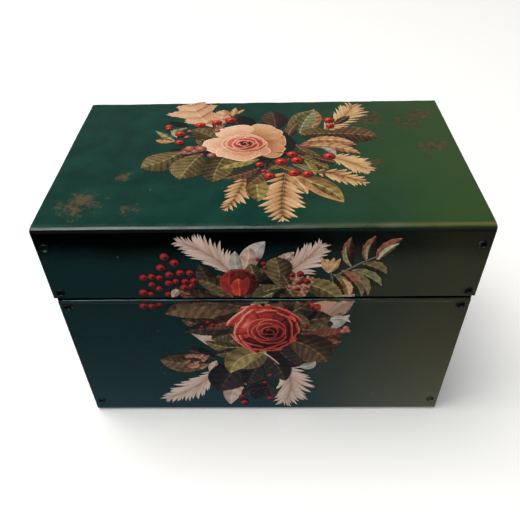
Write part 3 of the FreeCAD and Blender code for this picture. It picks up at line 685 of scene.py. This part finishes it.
def swirl(centre, radius, count, ink, squash=0.9, seed=0, tone=0.0, turned=0.0, start=0.0, tight=0.8,
          rim=0.42):
    # a flower's heart: petals that wrap half way round it, each smaller, turned on by 137 degrees
    # and shifted a little, so the bands between their rims are uneven
    for i in range(count):
        size = radius * (1 - i / count) ** tight
        way = math.radians(start + 137.5 * i)
        middle = (centre[0] + 0.10 * size * math.cos(way), centre[1] + 0.10 * size * math.sin(way) * squash)
        petal(middle, start + 137.5 * i, 96, size * 0.52, size * 0.96, ink, seed=seed + i, rim=rim,
              tone=tone - 0.01 * i,
              squash=squash, ruffle=0.02, drop=0.22, cup=0.38, rows=12, columns=33, turned=turned,
              shadow=0.08)
    berry(*centre, radius * 0.12, ink, eye=False, tone=-0.45)


def blossom(x, y, size, ink, petals=5, tone=0.0, spin=0.0):  # a small open flower of plain petals
    for i in range(petals):
        way = math.radians(spin + 360 * i / petals)
        leaf((x, y), (x + size * math.cos(way), y + size * math.sin(way)), size * 0.8, ink, teeth=1,
             veins=1,
             belly=0.6, sweep=0, veinLight=0.1, rows=11, columns=9, tone=tone + 0.10 * math.sin(i * 2))


def garland(centre, count, near, far, width, mix, squash=1.0, seed=0, arc=(0, 360), tone=0.0):
    # leaves pointing out from a centre all round an arc, of uneven length, in turn from a few inks
    dice = np.random.default_rng(seed)
    for i in range(count):
        way = math.radians(arc[0] + (arc[1] - arc[0]) * (i + dice.uniform(-0.25, 0.25)) / count)
        reach = far * dice.uniform(0.82, 1.08)
        ends = [(centre[0] + r * math.cos(way), centre[1] + squash * r * math.sin(way))
                for r in (near, reach)]
        leaf(*ends, width * dice.uniform(0.8, 1.2), mix[i % len(mix)], bend=dice.uniform(-0.12, 0.12),
             teeth=8, veins=5, rows=41, columns=13, lit=dice.choice([-1, 1]),
             tone=tone + dice.uniform(-0.06, 0.08))


def paintTop():
    paintOn("lidTop", "plumes")
    leaves((-18.2, 19.5, -28, 38.6, 23, "blushOak", 0.04, 0.26, 4, 18,
            {"bite": 0.16, "belly": 0.55, "sweep": 0.5, "lobes": 3, "lobeDepth": 0.4, "veinLight": -0.42,
             "rows": 110, "columns": 33}),
           (-17, 20, -15, 33, 10, "blushOak", -0.05, 0.2, 4, 9,
            {"bite": 0.2, "lobes": 2, "lobeDepth": 0.35, "veinLight": -0.35}))
    spray((21.6, 16), (34.8, 36), 14, "tanPlume", pairs=17, bend=-0.06, fat=0.16, lean=46, tone=0.05,
          fullest=0.5)
    leaves((18.5, 17, 19.5, 32.5, 8, "tanPlume", 0.05, 0.1, 5, 10, {"veinLight": -0.2}),
           (26, 20.5, 32.5, 26.8, 4, "plum", 0, 0.1, 5))
    spray((20.5, -1.5), (34.8, -11), 12, "tanPlume", pairs=15, bend=0.08, fat=0.2, lean=44, under=0.5,
          tone=0.06)
    spray((17.5, -10.8), (32.4, -18.2), 9.5, "tanPlume", pairs=8, bend=0.05, fat=0.36, tone=-0.02)
    spray((7.6, -11), (6.2, -37), 12.5, "tanPlume", pairs=12, bend=-0.02, fat=0.3, lean=60, fullest=0.4)
    spray((-5, -12), (-10.8, -31.6), 9, "tanPlume", pairs=10, bend=0.03, fat=0.32, lean=52, tone=-0.03)
    leaves((-11.3, 27.4, -10.4, 34.6, 2.8, "tanPlume", 0, 0.12, 3, 5, {"rows": 21, "columns": 9}),
           (-9.6, 29.5, -7, 33.2, 2, "tanPlume", 0, 0, 3, 5, {"rows": 21, "columns": 9}),
           (-12, 29, -14.2, 32.6, 2, "rosyTan", 0, 0.1, 3, 5, {"rows": 21, "columns": 9}))
    ribbon([(-9, 22), (-10.6, 25), (-11.3, 28.4)], 0.6, "stem")
    ribbon([(14, -11.2), (20, -11.9), (26.5, -10.8)], 0.8, "stem")
    leaves((6.5, -9.5, 14, -23.5, 4.6, "tanPlume", 0.06, 0.16, 3, 1))

    paintOn("lidTop", "foliage")
    garland((-6, 7), 15, 6, 17, 7.5, ["shade", "plum", "shade", "olive"], squash=0.82, seed=2, tone=0.02)
    leaves((-2.5, 17.5, -9, 28, 7, "shade"), (-27, 20, -34.5, 23.8, 3.5, "shade"),
           (-17, 1, -31.5, 3.5, 6.5, "shade", 0.08), (4.6, 17, 3.2, 31.4, 10.5, "plum", -0.03, 0.1),
           (9, 18.5, 18.6, 31.4, 9, "olive", -0.04, 0.1),
           (13.2, 14.2, 19.4, 31, 8.4, "sage", 0.05, 0, 7, 13, -1),
           (9.2, 11, 13.2, 21.5, 5, "bronze", 0.1, 0.1), (7.5, 16, 9.8, 1.6, 8, "shade", -0.08, 0.1),
           (23, 13.6, 40.2, 11, 12, "bronze", 0.05, 0.05, 8),
           (25.6, 13.4, 13.4, 13, 9.6, "olive", -0.05, -0.02, 7, 13, -1),
           (12, 4.6, 32.4, 5.6, 8, "rosyTan", 0.09, 0.02, 7, 8, {"bite": 0.26}),
           (15.5, 8.4, 31.6, 7, 5.5, "tanPlume", 0.1, 0.04, 6, 8, {"bite": 0.26}),
           (16, 5, 33, -0.4, 6, "tanPlume", 0.12, 0.02, 7, 8, {"bite": 0.3}),
           (11.5, 6.2, 19.5, -1.5, 4.6, "bronze", -0.12, 0.1),
           (20, 4.2, 24.5, -1.5, 3, "white", 0.15, -0.08, 3, 3),
           (12, -1, 21.5, -9.5, 7.5, "olive", 0, 0.04), (16.5, -2, 24.5, -6, 4.5, "bronze", 0, 0),
           (14, -4, 17, -13, 5, "oliveGold", 0, -0.05),
           (10.5, -13, 24.6, -28, 8, "tanPlume", 0.06, -0.04, 3, 1, -1),
           (15, -17, 24.4, -27.4, 4.8, "oliveGold", 0.09, 0, 4, 1),
           (-2.8, -12.5, -1, -27, 8, "oliveGold", 0.02, 0, 5, 8),
           (2.5, -9, -4.5, -18.5, 7, "bronze", 0, 0.05),
           (-27, 2.4, -39.8, -7.8, 12.5, "olive", 0.06, 0.1, 8, 13, -1),
           (-20.2, 0.8, -26.2, -14.6, 13, "olive", -0.04, 0.1, 8, 13, -1),
           (-11.8, 0.8, -15.6, -16.4, 12, "olive", -0.05, 0.02, 8),
           (-1, -8.5, -12, -14.5, 6, "bronze", 0.05, 0.02),
           (-0.5, -3.6, -13.8, -8.8, 6.2, "oliveGold", -0.08, 0.02, 5, 7),
           (-14.4, 8, -25.6, 17.6, 10, "olive", -0.05, 0.02, 7, 13, -1),
           (-15, 10.5, -20.4, 2, 6, "plum", 0, 0.05), (-30.8, 9.6, -38.6, 17, 3, "sage", 0, 0.05, 4, 6),
           (-31, 9, -37.6, 10.2, 3.8, "tanPlume", 0, 0, 4, 6),
           (-30.4, 12, -32.5, 16.8, 2.6, "white", 0, -0.05, 2, 3),
           (-27.5, 19, -33.4, 16.5, 2.8, "sage", 0, 0, 3, 4),
           (-22, 6, -28.5, 1.5, 5, "blushBerry", 0.1, 0.02, 4, 5), (3, -1.5, -2, -8.5, 5, "shade", 0, 0.08),
           (9, -3, 2, -9.5, 5.5, "olive", 0, 0), (10, -6.5, 15.5, -11.5, 5, "sage", 0, -0.08),
           (5.5, -8, 11, -12, 4.5, "olive", 0, 0.05), (-17.5, 15, -14, 20.4, 3.8, "rosyTan", 0, 0, 3, 4),
           (-21.5, 10.5, -17, 5.5, 3.8, "bronze", 0, 0.05, 3, 4))

    paintOn("lidTop", "rose")
    middle = (-6.4, 7.2)
    for i, (heading, spread, outer, ink, tone, point) in enumerate([
            (8, 34, 14.2, "amberPetal", -0.02, 0.04), (-26, 28, 14.2, "amberPetal", 0.04, 0.06),
            (186, 32, 13.2, "peachPetal", 0.04, 0.08), (48, 36, 15.6, "amberPetal", 0.1, 0),
            (112, 42, 13.8, "peachPetal", 0.05, 0), (224, 30, 11.2, "peachPetal", 0.06, 0.06),
            (318, 26, 10.4, "peachPetal", -0.02, 0), (270, 44, 11.2, "peachPetal", 0.08, 0)]):
        petal(middle, heading, spread, 5.4, outer, ink, seed=i, tone=tone, rim=0.16, ruffle=0.04, drop=0.3,
              cup=0.62, rows=24, columns=57, point=point, shadow=0.12)
    for i, (heading, outer, tone) in enumerate([
            (78, 8.2, 0.06), (165, 8, 0.04), (250, 7.6, 0.06), (335, 8.2, -0.04), (28, 7.6, -0.02),
            (120, 7, 0.02)]):
        petal(middle, heading, 56, 4.2, outer, "peachPetal", seed=20 + i, tone=tone - 0.12, rim=0.34,
              squash=0.84, ruffle=0.03, drop=0.2, shadow=0.2)
    swirl(middle, 6.6, 9, "salmonPetal", squash=0.84, seed=40, tone=0.16, start=20)

    paintOn("lidTop", "berries")
    for start, knee, end in [((-22.9, 20.7), (-20, 18), (-17, 14)),
                             ((-16.9, 22.6), (-17.5, 19), (-16.5, 16)),
                             ((-11.7, 24.4), (-13.5, 21), (-14, 18)), ((-29.4, 14.5), (-26, 13), (-23, 12)),
                             ((24.5, 23.6), (24, 18), (22, 13)), ((10, -0.4), (8, 0.5), (5, 1)),
                             ((22.4, -1.9), (19, -0.5), (15, 1)), ((2.4, -13.5), (1, -10), (1, -6))]:
        ribbon([end, knee, start], 0.5, "stem")
    berries([(-34.2, 19.9, 1.4), (-34, 18.4, 1.2), (-22.9, 20.7, 2), (-16.9, 22.6, 2), (-11.7, 24.4, 2.3),
             (-29.4, 14.5, 2), (-29, 8.4, 1.7), (24.5, 19.2, 1.6), (24.5, 23.6, 2.1), (10, -0.4, 1.9),
             (11.5, -4.2, 2.1), (6.3, -5.1, 2.2), (22.4, -1.9, 2.1), (-0.8, -6.6, 1.5), (0.5, -10.6, 0.9),
             (2.4, -13.5, 1.9), (10.3, -11.9, 2), (14.6, -12.5, 1.8)], "berry", tone=0.02)
    berries([(-24.9, 3.8, 2), (-21, 3.6, 2), (-26.2, 16.3, 1), (-16.4, 16.4, 1.2), (-26.8, 12, 1),
             (-23, 2, 1.4), (-17.2, -0.6, 1.5)], "blushBerry", eye=False, tone=0)


def paintFront():
    paintOn("front", "plumes")
    spray((-9, 72), (-24.8, 85.8), 14, "creamPlume", pairs=22, bend=-0.1, fat=0.15, lean=38, under=0.42,
          tone=0.08, fullest=0.25)
    leaves((-6, 73, 0.9, 85.6, 6.2, "white", 0.07, 0.2, 3, 1, {"veinLight": 0.1}),
           (-6.4, 73, -4, 83.5, 5.8, "creamPlume", -0.08, 0.16, 3, 1, {"veinLight": 0.1}),
           (-7, 72, -8, 82, 4, "white", 0.05, 0.05, 3, 1))
    spray((4, 71), (17.4, 84.6), 14, "creamPlume", pairs=21, bend=-0.06, fat=0.15, lean=38, under=0.42,
          tone=0.06, fullest=0.25)
    leaves((2.5, 74.5, 9.5, 81.5, 4.5, "creamPlume", 0, 0.05, 4, 6),
           (11.5, 52, 28.8, 63.8, 10, "creamPlume", -0.08, 0.04, 9, 1, {"veinLight": -0.3}),
           (12, 50.5, 23.5, 60.5, 8, "rosyTan", 0.05, 0.2, 4, 1),
           (14.5, 48.5, 28.2, 54.2, 5.4, "white", -0.14, 0.12, 2, 1, {"veinLight": 0.05}),
           (21, 51.5, 28.8, 50.6, 2.2, "white", 0.2, 0.1, 1, 1, {"rows": 15, "columns": 7}))
    spray((-15.5, 26.5), (-38, 7.4), 17, "creamPlume", pairs=24, bend=0.06, fat=0.15, lean=36, under=0.46,
          tone=0.08, fullest=0.3)
    spray((4.6, 31), (6.8, 4.4), 18, "creamPlume", pairs=23, bend=0.15, fat=0.15, lean=42, under=0.5,
          tone=0.08, fullest=0.45)
    leaves((-6, 21.5, -13.4, 3.8, 7.5, "creamPlume", -0.1, 0.22, 4, 1),
           (-6.4, 32.5, -25, 46.4, 10.5, "creamPlume", -0.12, 0.16, 4, 1))
    ribbon([(-7, 24), (-4.5, 21), (-2, 19.3)], 1.6, "creamPlume", tone=0.2)
    leaves((-20, 24.5, -17, 30.5, 3.4, "creamPlume", 0, 0.15, 3, 4))

    paintOn("front", "sprigs")
    ribbon([(21, 70.5), (29, 76.5), (35.5, 80)], 0.9, "greyStem")
    for base, tip, width, ink, tone in [
            ((26.8, 75.4), (25.8, 87), 4.2, "rust", 0), ((26.6, 76), (24.6, 84), 2.2, "sage", -0.05),
            ((31, 78), (32.8, 87.4), 3.8, "rust", 0), ((31.2, 78.6), (31.6, 84.6), 2, "sage", 0),
            ((34, 78.2), (40.4, 86.4), 4.6, "rust", 0.05), ((34.4, 78.2), (39.8, 84.6), 2.4, "sage", 0.2),
            ((30, 76.6), (37.6, 72.6), 5, "olive", 0.04), ((27, 74), (36.8, 67.4), 5, "sage", -0.1),
            ((26.5, 73.5), (33, 63.4), 4.8, "olive", 0.06), ((24, 74), (29.5, 65.5), 5, "rust", 0.12),
            ((21.5, 72.5), (26, 63.6), 5, "olive", 0.06), ((27.5, 70), (31, 62.8), 3.2, "olive", 0.02),
            ((24.5, 70.5), (27, 63), 3.4, "tanPlume", 0.1)]:
        leaf(base, tip, width, ink, bend=0.08, veins=4, teeth=4, bite=0.2, rows=51, columns=15, tone=tone,
             lit=2.2, pleats=0.22)
    for side in range(4):
        leaf((20.2, 73), (17.6 + 1.9 * side, 79.2 - 0.5 * (side % 2)), 2.4, "tanPlume", veins=2, teeth=2,
             bite=0.2, rows=21, columns=9, tone=0.1 + 0.06 * math.sin(3 * side))
    ribbon([(20.6, 73.6), (21.4, 70), (22.6, 66)], 0.7, "greyStem")

    paintOn("front", "foliage")
    garland((-4, 67.5), 15, 3, 15.5, 6.5, ["plum", "olive", "shade", "bronze"], squash=0.5, seed=5, tone=0)
    garland((1, 50), 24, 8, 21, 8.5, ["plum", "bronze", "shade", "olive"], squash=0.74, seed=7, tone=0)
    leaves((-14, 65.5, -18.8, 77, 6.5, "plum", 0.05, 0.06), (-9.5, 63, -20.5, 71, 6.5, "olive", -0.08, 0),
           (-2, 69, -3.6, 77, 5.5, "olive", 0, 0.05),
           (5.6, 66.5, 4, 79.4, 9.6, "olive", -0.02, 0.05, {"belly": 0.5}),
           (10, 64, 6, 73, 5.8, "bronze", 0, 0), (-12, 62, -27.4, 67.4, 6.5, "bronze", 0.1, 0.04),
           (-14, 61.5, -26, 64, 4.5, "rust", 0.05, 0), (11, 69, 25, 60.6, 8.4, "oliveGold", 0.1, -0.05, 6),
           (-3.5, 62, 6.5, 67, 5.5, "olive", 0.1, 0), (3.5, 65, -3.5, 60.6, 5.5, "sage", 0, -0.02),
           (7, 67.5, 12.5, 58.5, 5.5, "olive", 0, 0.02),
           (-7, 57, -32, 55.4, 12, "bronze", -0.09, 0.1, 8, {"veinLight": 0.25}),
           (-6, 58.5, -21, 62, 7, "bronze", 0, -0.02), (-8, 50, -27, 52.5, 8.5, "bronze", 0.1, 0.02),
           (-7, 47.5, -26.6, 46.4, 8.5, "plum", -0.06, 0.05), (-8, 52.5, -19, 48.5, 6, "rust", 0, -0.05),
           (-8.5, 46, -18, 42.4, 6.5, "olive", 0, -0.04),
           (-7, 38.5, -20.2, 41.6, 6, "oliveGold", 0.12, -0.12),
           (-7, 36.5, -17, 34, 5.5, "olive", 0, -0.02), (8, 56.5, 15.2, 48.5, 6.5, "olive", -0.05, 0.02),
           (9.5, 48.5, 22.6, 48, 7.5, "olive", -0.1, -0.03),
           (12.5, 45.2, 27.2, 47, 8.5, "rust", -0.14, 0, 8, {"veinLight": 0.3}),
           (13, 43.5, 26.6, 40.8, 7, "rust", -0.16, 0.04, 7), (3.5, 42, 13, 27.6, 12, "plum", -0.1, 0),
           (7.5, 42.5, 22.2, 30, 14, "bronze", 0.1, 0.02, 7, 1, -1),
           (18.2, 30.2, 12.6, 27.5, 3.8, "white", 0.2, 0.05, 1, 1, {"rows": 15, "columns": 9}),
           (-0.4, 36, 7.6, 18.8, 10.5, "plum", 0.05, 0.02, 7, 13, -1),
           (-19.5, 28.8, -37, 31.4, 11, "bronze", 0.05, 0.1, 8), (-17.5, 32, -26, 37, 5.5, "plum", 0, 0.05),
           (-6.5, 31, -17, 12.6, 14.5, "plum", -0.05, 0, 6, 1), (-2, 29, -6.5, 16.5, 9, "plum", 0, 0),
           (0.5, 36, -9.5, 26.6, 8, "olive", 0.08, 0.04),
           (1, 35.6, -12.4, 23.6, 9.5, "oliveGold", -0.2, 0.1, 4, 1))
    ribbon([(0, 34.8), (2.6, 32.2), (5.2, 28.6)], 0.8, "creamPlume", tone=0.2)
    leaves((-1, 18.5, -9, 10, 6.5, "plum", 0.05, 0), (1, 17, 3.2, 8, 6, "plum", 0, 0),
           (-1, 17.5, -3.5, 7, 7, "shade", 0, 0.05),
           (14, 60.5, 18.5, 57, 4.2, "redPetal", 0, -0.05, 3, 6, {"bite": 0.25}))

    paintOn("front", "roses")
    bud = (-7.3, 69.2)
    berry(*bud, 5.5, "budRed", eye=False, tone=-0.12)
    for i, (heading, spread, tone) in enumerate([(20, 62, -0.06), (160, 60, 0.1), (82, 50, 0.06)]):
        petal(bud, heading, spread, 0.8, 5.7, "budRed", seed=60 + i, tone=tone, rim=0.14, ruffle=0.03,
              drop=0.2, cup=0.26, rows=14, columns=33, shadow=0.14, roll=0.4)
    for base, tip, width, bend, tone in [((-8.2, 63.8), (-10.2, 72.4), 5.4, 0.12, 0.2),
                                         ((-6.2, 63.8), (-4.6, 71.8), 5.2, -0.12, 0.1),
                                         ((-7.3, 63.4), (-7.4, 71.2), 4.8, 0, 0.36)]:
        leaf(base, tip, width, "budRed", bend=bend, teeth=1, veins=1, veinLight=0, tone=tone, rim=0.16,
             pleats=0.16)
    heart = (1.2, 46.8)
    for i, (heading, spread, outer, tone, spot) in enumerate([
            (94, 34, 12.8, -0.04, 0.16), (52, 30, 11.9, -0.08, 0), (222, 33, 11.6, -0.02, 0.22),
            (264, 34, 10.4, -0.12, 0), (308, 32, 10.3, -0.12, 0), (345, 27, 10, -0.08, 0),
            (180, 30, 11, -0.02, 0.3), (18, 28, 10.6, -0.04, 0), (136, 33, 13, 0.04, 0.36)]):
        petal(heart, heading, spread, 6, outer, "redPetal", seed=80 + i, tone=tone, rim=0.34, ruffle=0.012,
              drop=0.12,
              cup=0.46, rows=24, columns=53, shadow=0.2, flat=1, roll=0.75, spot=(-0.2, 0.55, spot))
    for i, (heading, spread, outer, tone, spot) in enumerate([
            (62, 42, 9.6, -0.04, 0), (108, 38, 9.8, 0, 0), (200, 42, 10, -0.02, 0.2),
            (252, 44, 8.8, -0.12, 0), (302, 42, 8.6, -0.12, 0), (4, 42, 8.6, -0.06, 0),
            (152, 40, 10.4, 0.06, 0.38)]):
        petal(heart, heading, spread, 4.8, outer, "redPetal", seed=90 + i, tone=tone, rim=0.32, ruffle=0.01,
              drop=0.14,
              cup=0.44, rows=22, columns=47, shadow=0.22, flat=0.8, roll=0.6, spot=(0.1, 0.5, spot))
    swirl((heart[0] + 0.5, heart[1] - 0.4), 7.2, 11, "redPetal", squash=0.92, seed=110, tone=0, turned=-8,
          start=150, rim=0.26)

    paintOn("front", "berries")
    berries([(-29, 80, 1.5), (-26.3, 77.6, 1.5), (-30.7, 75.6, 1.5), (-28.4, 72.8, 1.4), (-25, 73.5, 1.4),
             (-22, 73.5, 1.3), (-36.5, 71.6, 1.4), (-33.9, 72, 1.3), (-31.6, 71.5, 1.2), (-26.7, 70, 1.2),
             (-23.8, 69.9, 1.3), (-21.1, 70.1, 1.4), (-29, 69.2, 1.3), (-34.4, 68.6, 1.2),
             (-32.3, 66.8, 1.2), (-37.5, 65.2, 1.5), (-35.2, 64.5, 1.1), (-24.4, 67.3, 1.4), (-22, 68, 1.2),
             (-29.7, 64.4, 1.2), (-38.4, 59.2, 1.5), (-35.6, 59.2, 1.5),
             (-33, 60, 1.2)], "darkBerry", tone=0.14)
    leaves((-28.8, 63.2, -26.6, 66.6, 2.6, "creamPlume", 0, 0.1, 1, 1, {"rows": 13, "columns": 7}))
    for x, z, size, spin in [(10.4, 70.8, 2.2, 20), (12.6, 68, 2.2, 50), (9.6, 67.2, 2.1, 80),
                             (12.2, 65, 2.1, 10), (14.2, 70.2, 1.8, 30)]:
        blossom(x, z, size, "rust", tone=0.24, spin=spin)
    berries([(9.1, 72.3, 1), (11.5, 72.7, 1.1), (13.6, 69.6, 1.2), (11.6, 69.4, 0.9), (10.8, 66.4, 0.9),
             (0.4, 77.2, 0.8), (-1.2, 78.6, 0.7), (0.8, 75.4, 0.8), (12.5, 61.6, 1.3), (12, 59.2, 1),
             (-16.8, 49.8, 0.9), (-18.4, 51.2, 0.8), (14, 48.6, 0.9),
             (-20.5, 49, 0.7)], "darkBerry", tone=0.12)
    cluster = np.random.default_rng(12)
    for i in range(17):
        x, z = -23.4 + 3.8 * cluster.uniform(-1, 1), 30.4 + 4 * cluster.uniform(-1, 1)
        leaf((x + 0.9, z + 0.6), (x - 1.1, z - 0.9), 1.9, "rosyTan", veins=1, teeth=1, belly=0.55, rows=11,
             columns=7, tone=0.12 + 0.1 * math.sin(i))
    for i in range(15):
        berry(-3.2 + 4.8 * cluster.uniform(-1, 1), 12.4 + 3.8 * cluster.uniform(-1, 1), 0.9, "plumBerry",
              tone=0.16)
    berries([(2.1, 22, 1.1), (0.2, 17.8, 1), (-8.6, 8.9, 1.4), (2.1, 7.6, 1.5),
             (-7.8, 4.9, 1.7)], "darkBerry", tone=0.1)
    berries([(27.5, 47.8, 1.2), (26.6, 46.2, 1.1), (28.4, 46.4, 0.9)], "blushBerry", eye=False, tone=0.08)


layers = {"first": 0.020 * mm, "step": 0.0007 * mm, "sunk": 0.030 * mm}


def printPiece(name, face, patches, body, node):
    # every patch lies on its panel at a height of its own, with its rim taken down into the paint
    outward = np.array([0, 0, 1.0]) if face == "lidTop" else np.array([0, -1.0, 0])
    vertices, colours, heights, faces, start = [], [], [], [], 0
    for height, points, colour in patches:
        a, b = points[..., 0] * mm, points[..., 1] * mm
        out = height + panelLift(face, a, b)
        if face == "lidTop":
            places = np.stack([a, b, lidHigh[2] + out], -1)
        else:
            places = np.stack([a, frontY - out, b], -1)
        rows, columns = points.shape[:2]
        vertices.append(places.reshape(-1, 3))
        colours.append(colour.reshape(-1, 3))
        heights.append(np.full(rows * columns, height))
        faces.append(gridFaces(rows, columns, False, start))
        start += rows * columns
    vertices, colours = np.concatenate(vertices), np.concatenate(colours)
    mesh = bpy.data.meshes.new(name)
    mesh.from_pydata(vertices.tolist(), [], np.concatenate(faces).tolist())
    ink = mesh.attributes.new("ink", "FLOAT_COLOR", "POINT")
    ink.data.foreach_set("color", np.concatenate([colours, np.ones((len(colours), 1))], 1).ravel())
    mesh.attributes.new("layer", "FLOAT", "POINT").data.foreach_set("value", np.concatenate(heights))
    work = bmesh.new()
    work.from_mesh(mesh)
    bmesh.ops.remove_doubles(work, verts=work.verts, dist=3e-7)
    seams = {"lidFront": (lidLow[2] + 0.12 * mm, (0, 0, -1)),
             "baseFront": (shell["ledge"] - 0.25 * mm, (0, 0, 1))}
    if face in seams:
        height, away = seams[face]
        everything = work.verts[:] + work.edges[:] + work.faces[:]
        bmesh.ops.bisect_plane(work, geom=everything, plane_co=(0, 0, height), plane_no=away,
                               clear_outer=True)
    bmesh.ops.dissolve_degenerate(work, edges=work.edges, dist=1e-8)
    rims = [edge for edge in work.edges if edge.is_boundary]
    layer = work.verts.layers.float["layer"]
    made = bmesh.ops.extrude_edge_only(work, edges=rims)["geom"]
    for vertex in made:
        if isinstance(vertex, bmesh.types.BMVert):
            vertex.co -= Vector(outward * (vertex[layer] + layers["sunk"]))
    closeUp(mesh, work)
    mesh.attributes.remove(mesh.attributes["layer"])
    piece = finishMesh(name, mesh, paper)
    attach(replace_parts(piece, node), body)
    print(name, len(mesh.polygons), "faces")


def makePrints():
    paintTop()
    paintFront()
    plan = [("lidTop", "lidTop", "lid", "lid_top_print"), ("front", "lidFront", "lid", "lid_front_print"),
            ("front", "baseFront", "base", "base_front_print")]
    for sheet, face, body, node in plan:
        stack = [(layers["first"] + layers["step"] * i, *patch) for i, patch in enumerate(bouquets[sheet])]
        for group in dict.fromkeys(patch[1] for patch in stack):
            chosen = [(height, points, colour) for height, name, points, colour in stack
                      if name == group and inSight(face, points)]
            if chosen:
                printPiece(face + group.capitalize(), face, chosen, body, node)


def inSight(face, points):  # whether any of a patch lies on this panel
    if face == "lidTop":
        return True
    heights = points[..., 1] * mm
    if face == "lidFront":
        return heights.max() > lidLow[2] + 0.3 * mm
    return heights.min() < shell["ledge"] - 0.4 * mm


makePrints()
print("flowers laid")


studio = {
    "lens": 38.07, "position": (0.0024, -0.16231, 0.18753),  # mm, m
    "pitchDown": 41.717, "yaw": 1.433, "roll": -1.41,       # degrees
    # the air as seen, as mirrored low and high, and as a light
    "air": {"camera": 1.0, "shine": (0.14, 0.0), "fill": 0.28},
    "softbox": {"size": (1.1, 1.0), "watts": 24.0, "from": (-0.52, 0.06, 1.62), "tint": "#fffdf8"},
    "rimBox": {"size": (0.7, 0.08), "watts": 2.2, "from": (-0.16, -0.26, 0.70), "tint": "#c4ebf0"},
    "table": {"near": 0.0402, "far": 0.30, "cool": "#7b9eb0", "warm": "#f7f9d9", "glow": 0.8,
              "reach": 0.085},
}


def addCamera():
    pitch, yaw, roll = [math.radians(studio[key]) for key in ("pitchDown", "yaw", "roll")]
    right = np.array([math.cos(yaw), math.sin(yaw), 0])
    level = np.array([-math.sin(yaw), math.cos(yaw), 0])
    forward = math.cos(pitch) * level - math.sin(pitch) * np.array([0, 0, 1])
    up = math.sin(pitch) * level + math.cos(pitch) * np.array([0, 0, 1])
    turned = [math.cos(roll) * right + math.sin(roll) * up, math.cos(roll) * up - math.sin(roll) * right,
              -forward]
    camera = bpy.data.objects.new("camera", bpy.data.cameras.new("camera"))
    camera.data.lens = studio["lens"]
    camera.data.clip_start = 0.01
    matrix = np.eye(4)
    matrix[:3, :3] = np.stack(turned, -1)
    matrix[:3, 3] = studio["position"]
    camera.matrix_world = Matrix(matrix.tolist())
    bpy.context.scene.collection.objects.link(camera)
    bpy.context.scene.camera = camera


def addSoftbox(name):
    look = studio[name]
    lamp = bpy.data.lights.new(name, "AREA")
    lamp.shape = "RECTANGLE"
    lamp.size, lamp.size_y = look["size"]
    lamp.energy = look["watts"]
    lamp.color = linear(look["tint"])
    box = bpy.data.objects.new(name, lamp)
    facing = (-Vector(look["from"])).to_track_quat("-Z", "Y")
    box.matrix_world = Matrix.Translation(look["from"]) @ facing.to_matrix().to_4x4()
    box.visible_diffuse = name == "softbox"  # the other one only puts shine on the bends
    bpy.context.scene.collection.objects.link(box)


def addFloor():  # pale and plain; it doesn't show in the paint's shine, where the dark table below does
    mesh = bpy.data.meshes.new("floor")
    mesh.from_pydata([(-6, -6, -0.0001), (6, -6, -0.0001), (6, 6, -0.0001), (-6, 6, -0.0001)], [],
                     [(0, 1, 2, 3)])
    material, tree = newMaterial("paleFloor")
    shader = addNode(tree, "BsdfPrincipled",
                     {"Base Color": (0.97, 0.97, 0.97, 1), "Roughness": 0.7, "Emission Color": (1, 1, 1, 1),
                      "Emission Strength": 0.155})
    addNode(tree, "OutputMaterial", {"Surface": shader})
    mesh.materials.append(material)
    floor = bpy.data.objects.new("floor", mesh)
    floor.visible_glossy = False
    bpy.context.scene.collection.objects.link(floor)


def addTable():  # a dark card in front that only reflections see, cool at the left and warm at the right
    look = studio["table"]
    near, far = -look["near"], -look["far"]
    mesh = bpy.data.meshes.new("table")
    mesh.from_pydata([(-0.5, far, 0), (0.5, far, 0), (0.5, near, 0), (-0.5, near, 0)], [], [(0, 1, 2, 3)])
    material, tree = newMaterial("darkTable")
    parts = addNode(tree, "SeparateXYZ", {"Vector": addNode(tree, "TexCoord").outputs["Object"]}).outputs
    across = addNode(tree, "MapRange", [parts["X"], 0.012, 0.075])
    tint = addNode(tree, "Mix", {0: across, 6: look["cool"], 7: look["warm"]}, data_type="RGBA")
    fall = addNode(tree, "MapRange", [parts["Y"], near - look["reach"], near])
    fall = addNode(tree, "Math", [fall, 2.5], operation="POWER")
    fall = addNode(tree, "Math", [fall, look["glow"]], operation="MULTIPLY")
    glow = addNode(tree, "Emission", {"Color": tint, "Strength": fall})
    addNode(tree, "OutputMaterial", {"Surface": glow})
    mesh.materials.append(material)
    table = bpy.data.objects.new("table", mesh)
    table.visible_camera = table.visible_diffuse = table.visible_shadow = False
    bpy.context.scene.collection.objects.link(table)


def addWorld():  # pale to the eye, dim in reflections, and a soft fill as a light
    look = studio["air"]
    world = bpy.data.worlds.new("studioAir")
    bpy.context.scene.world = world
    world.use_nodes = True
    tree = world.node_tree
    tree.nodes.clear()
    ray = addNode(tree, "LightPath").outputs
    way = addNode(tree, "SeparateXYZ", {"Vector": addNode(tree, "TexCoord").outputs["Generated"]}).outputs
    shine = addNode(tree, "MapRange", [way["Z"], 0.52, 0.76, look["shine"][0], look["shine"][1]])
    level = addNode(tree, "Mix", {0: ray["Is Glossy Ray"], 2: look["fill"], 3: shine})
    level = addNode(tree, "Mix", {0: ray["Is Camera Ray"], 2: level, 3: look["camera"]})
    air = addNode(tree, "Background", {"Color": (1, 1, 1, 1), "Strength": level})
    addNode(tree, "OutputWorld", {"Surface": air})


addCamera()
addFloor()
addTable()
addWorld()
addSoftbox("softbox")
addSoftbox("rimBox")
bpy.context.scene.view_settings.view_transform = "Standard"
print("studio set")
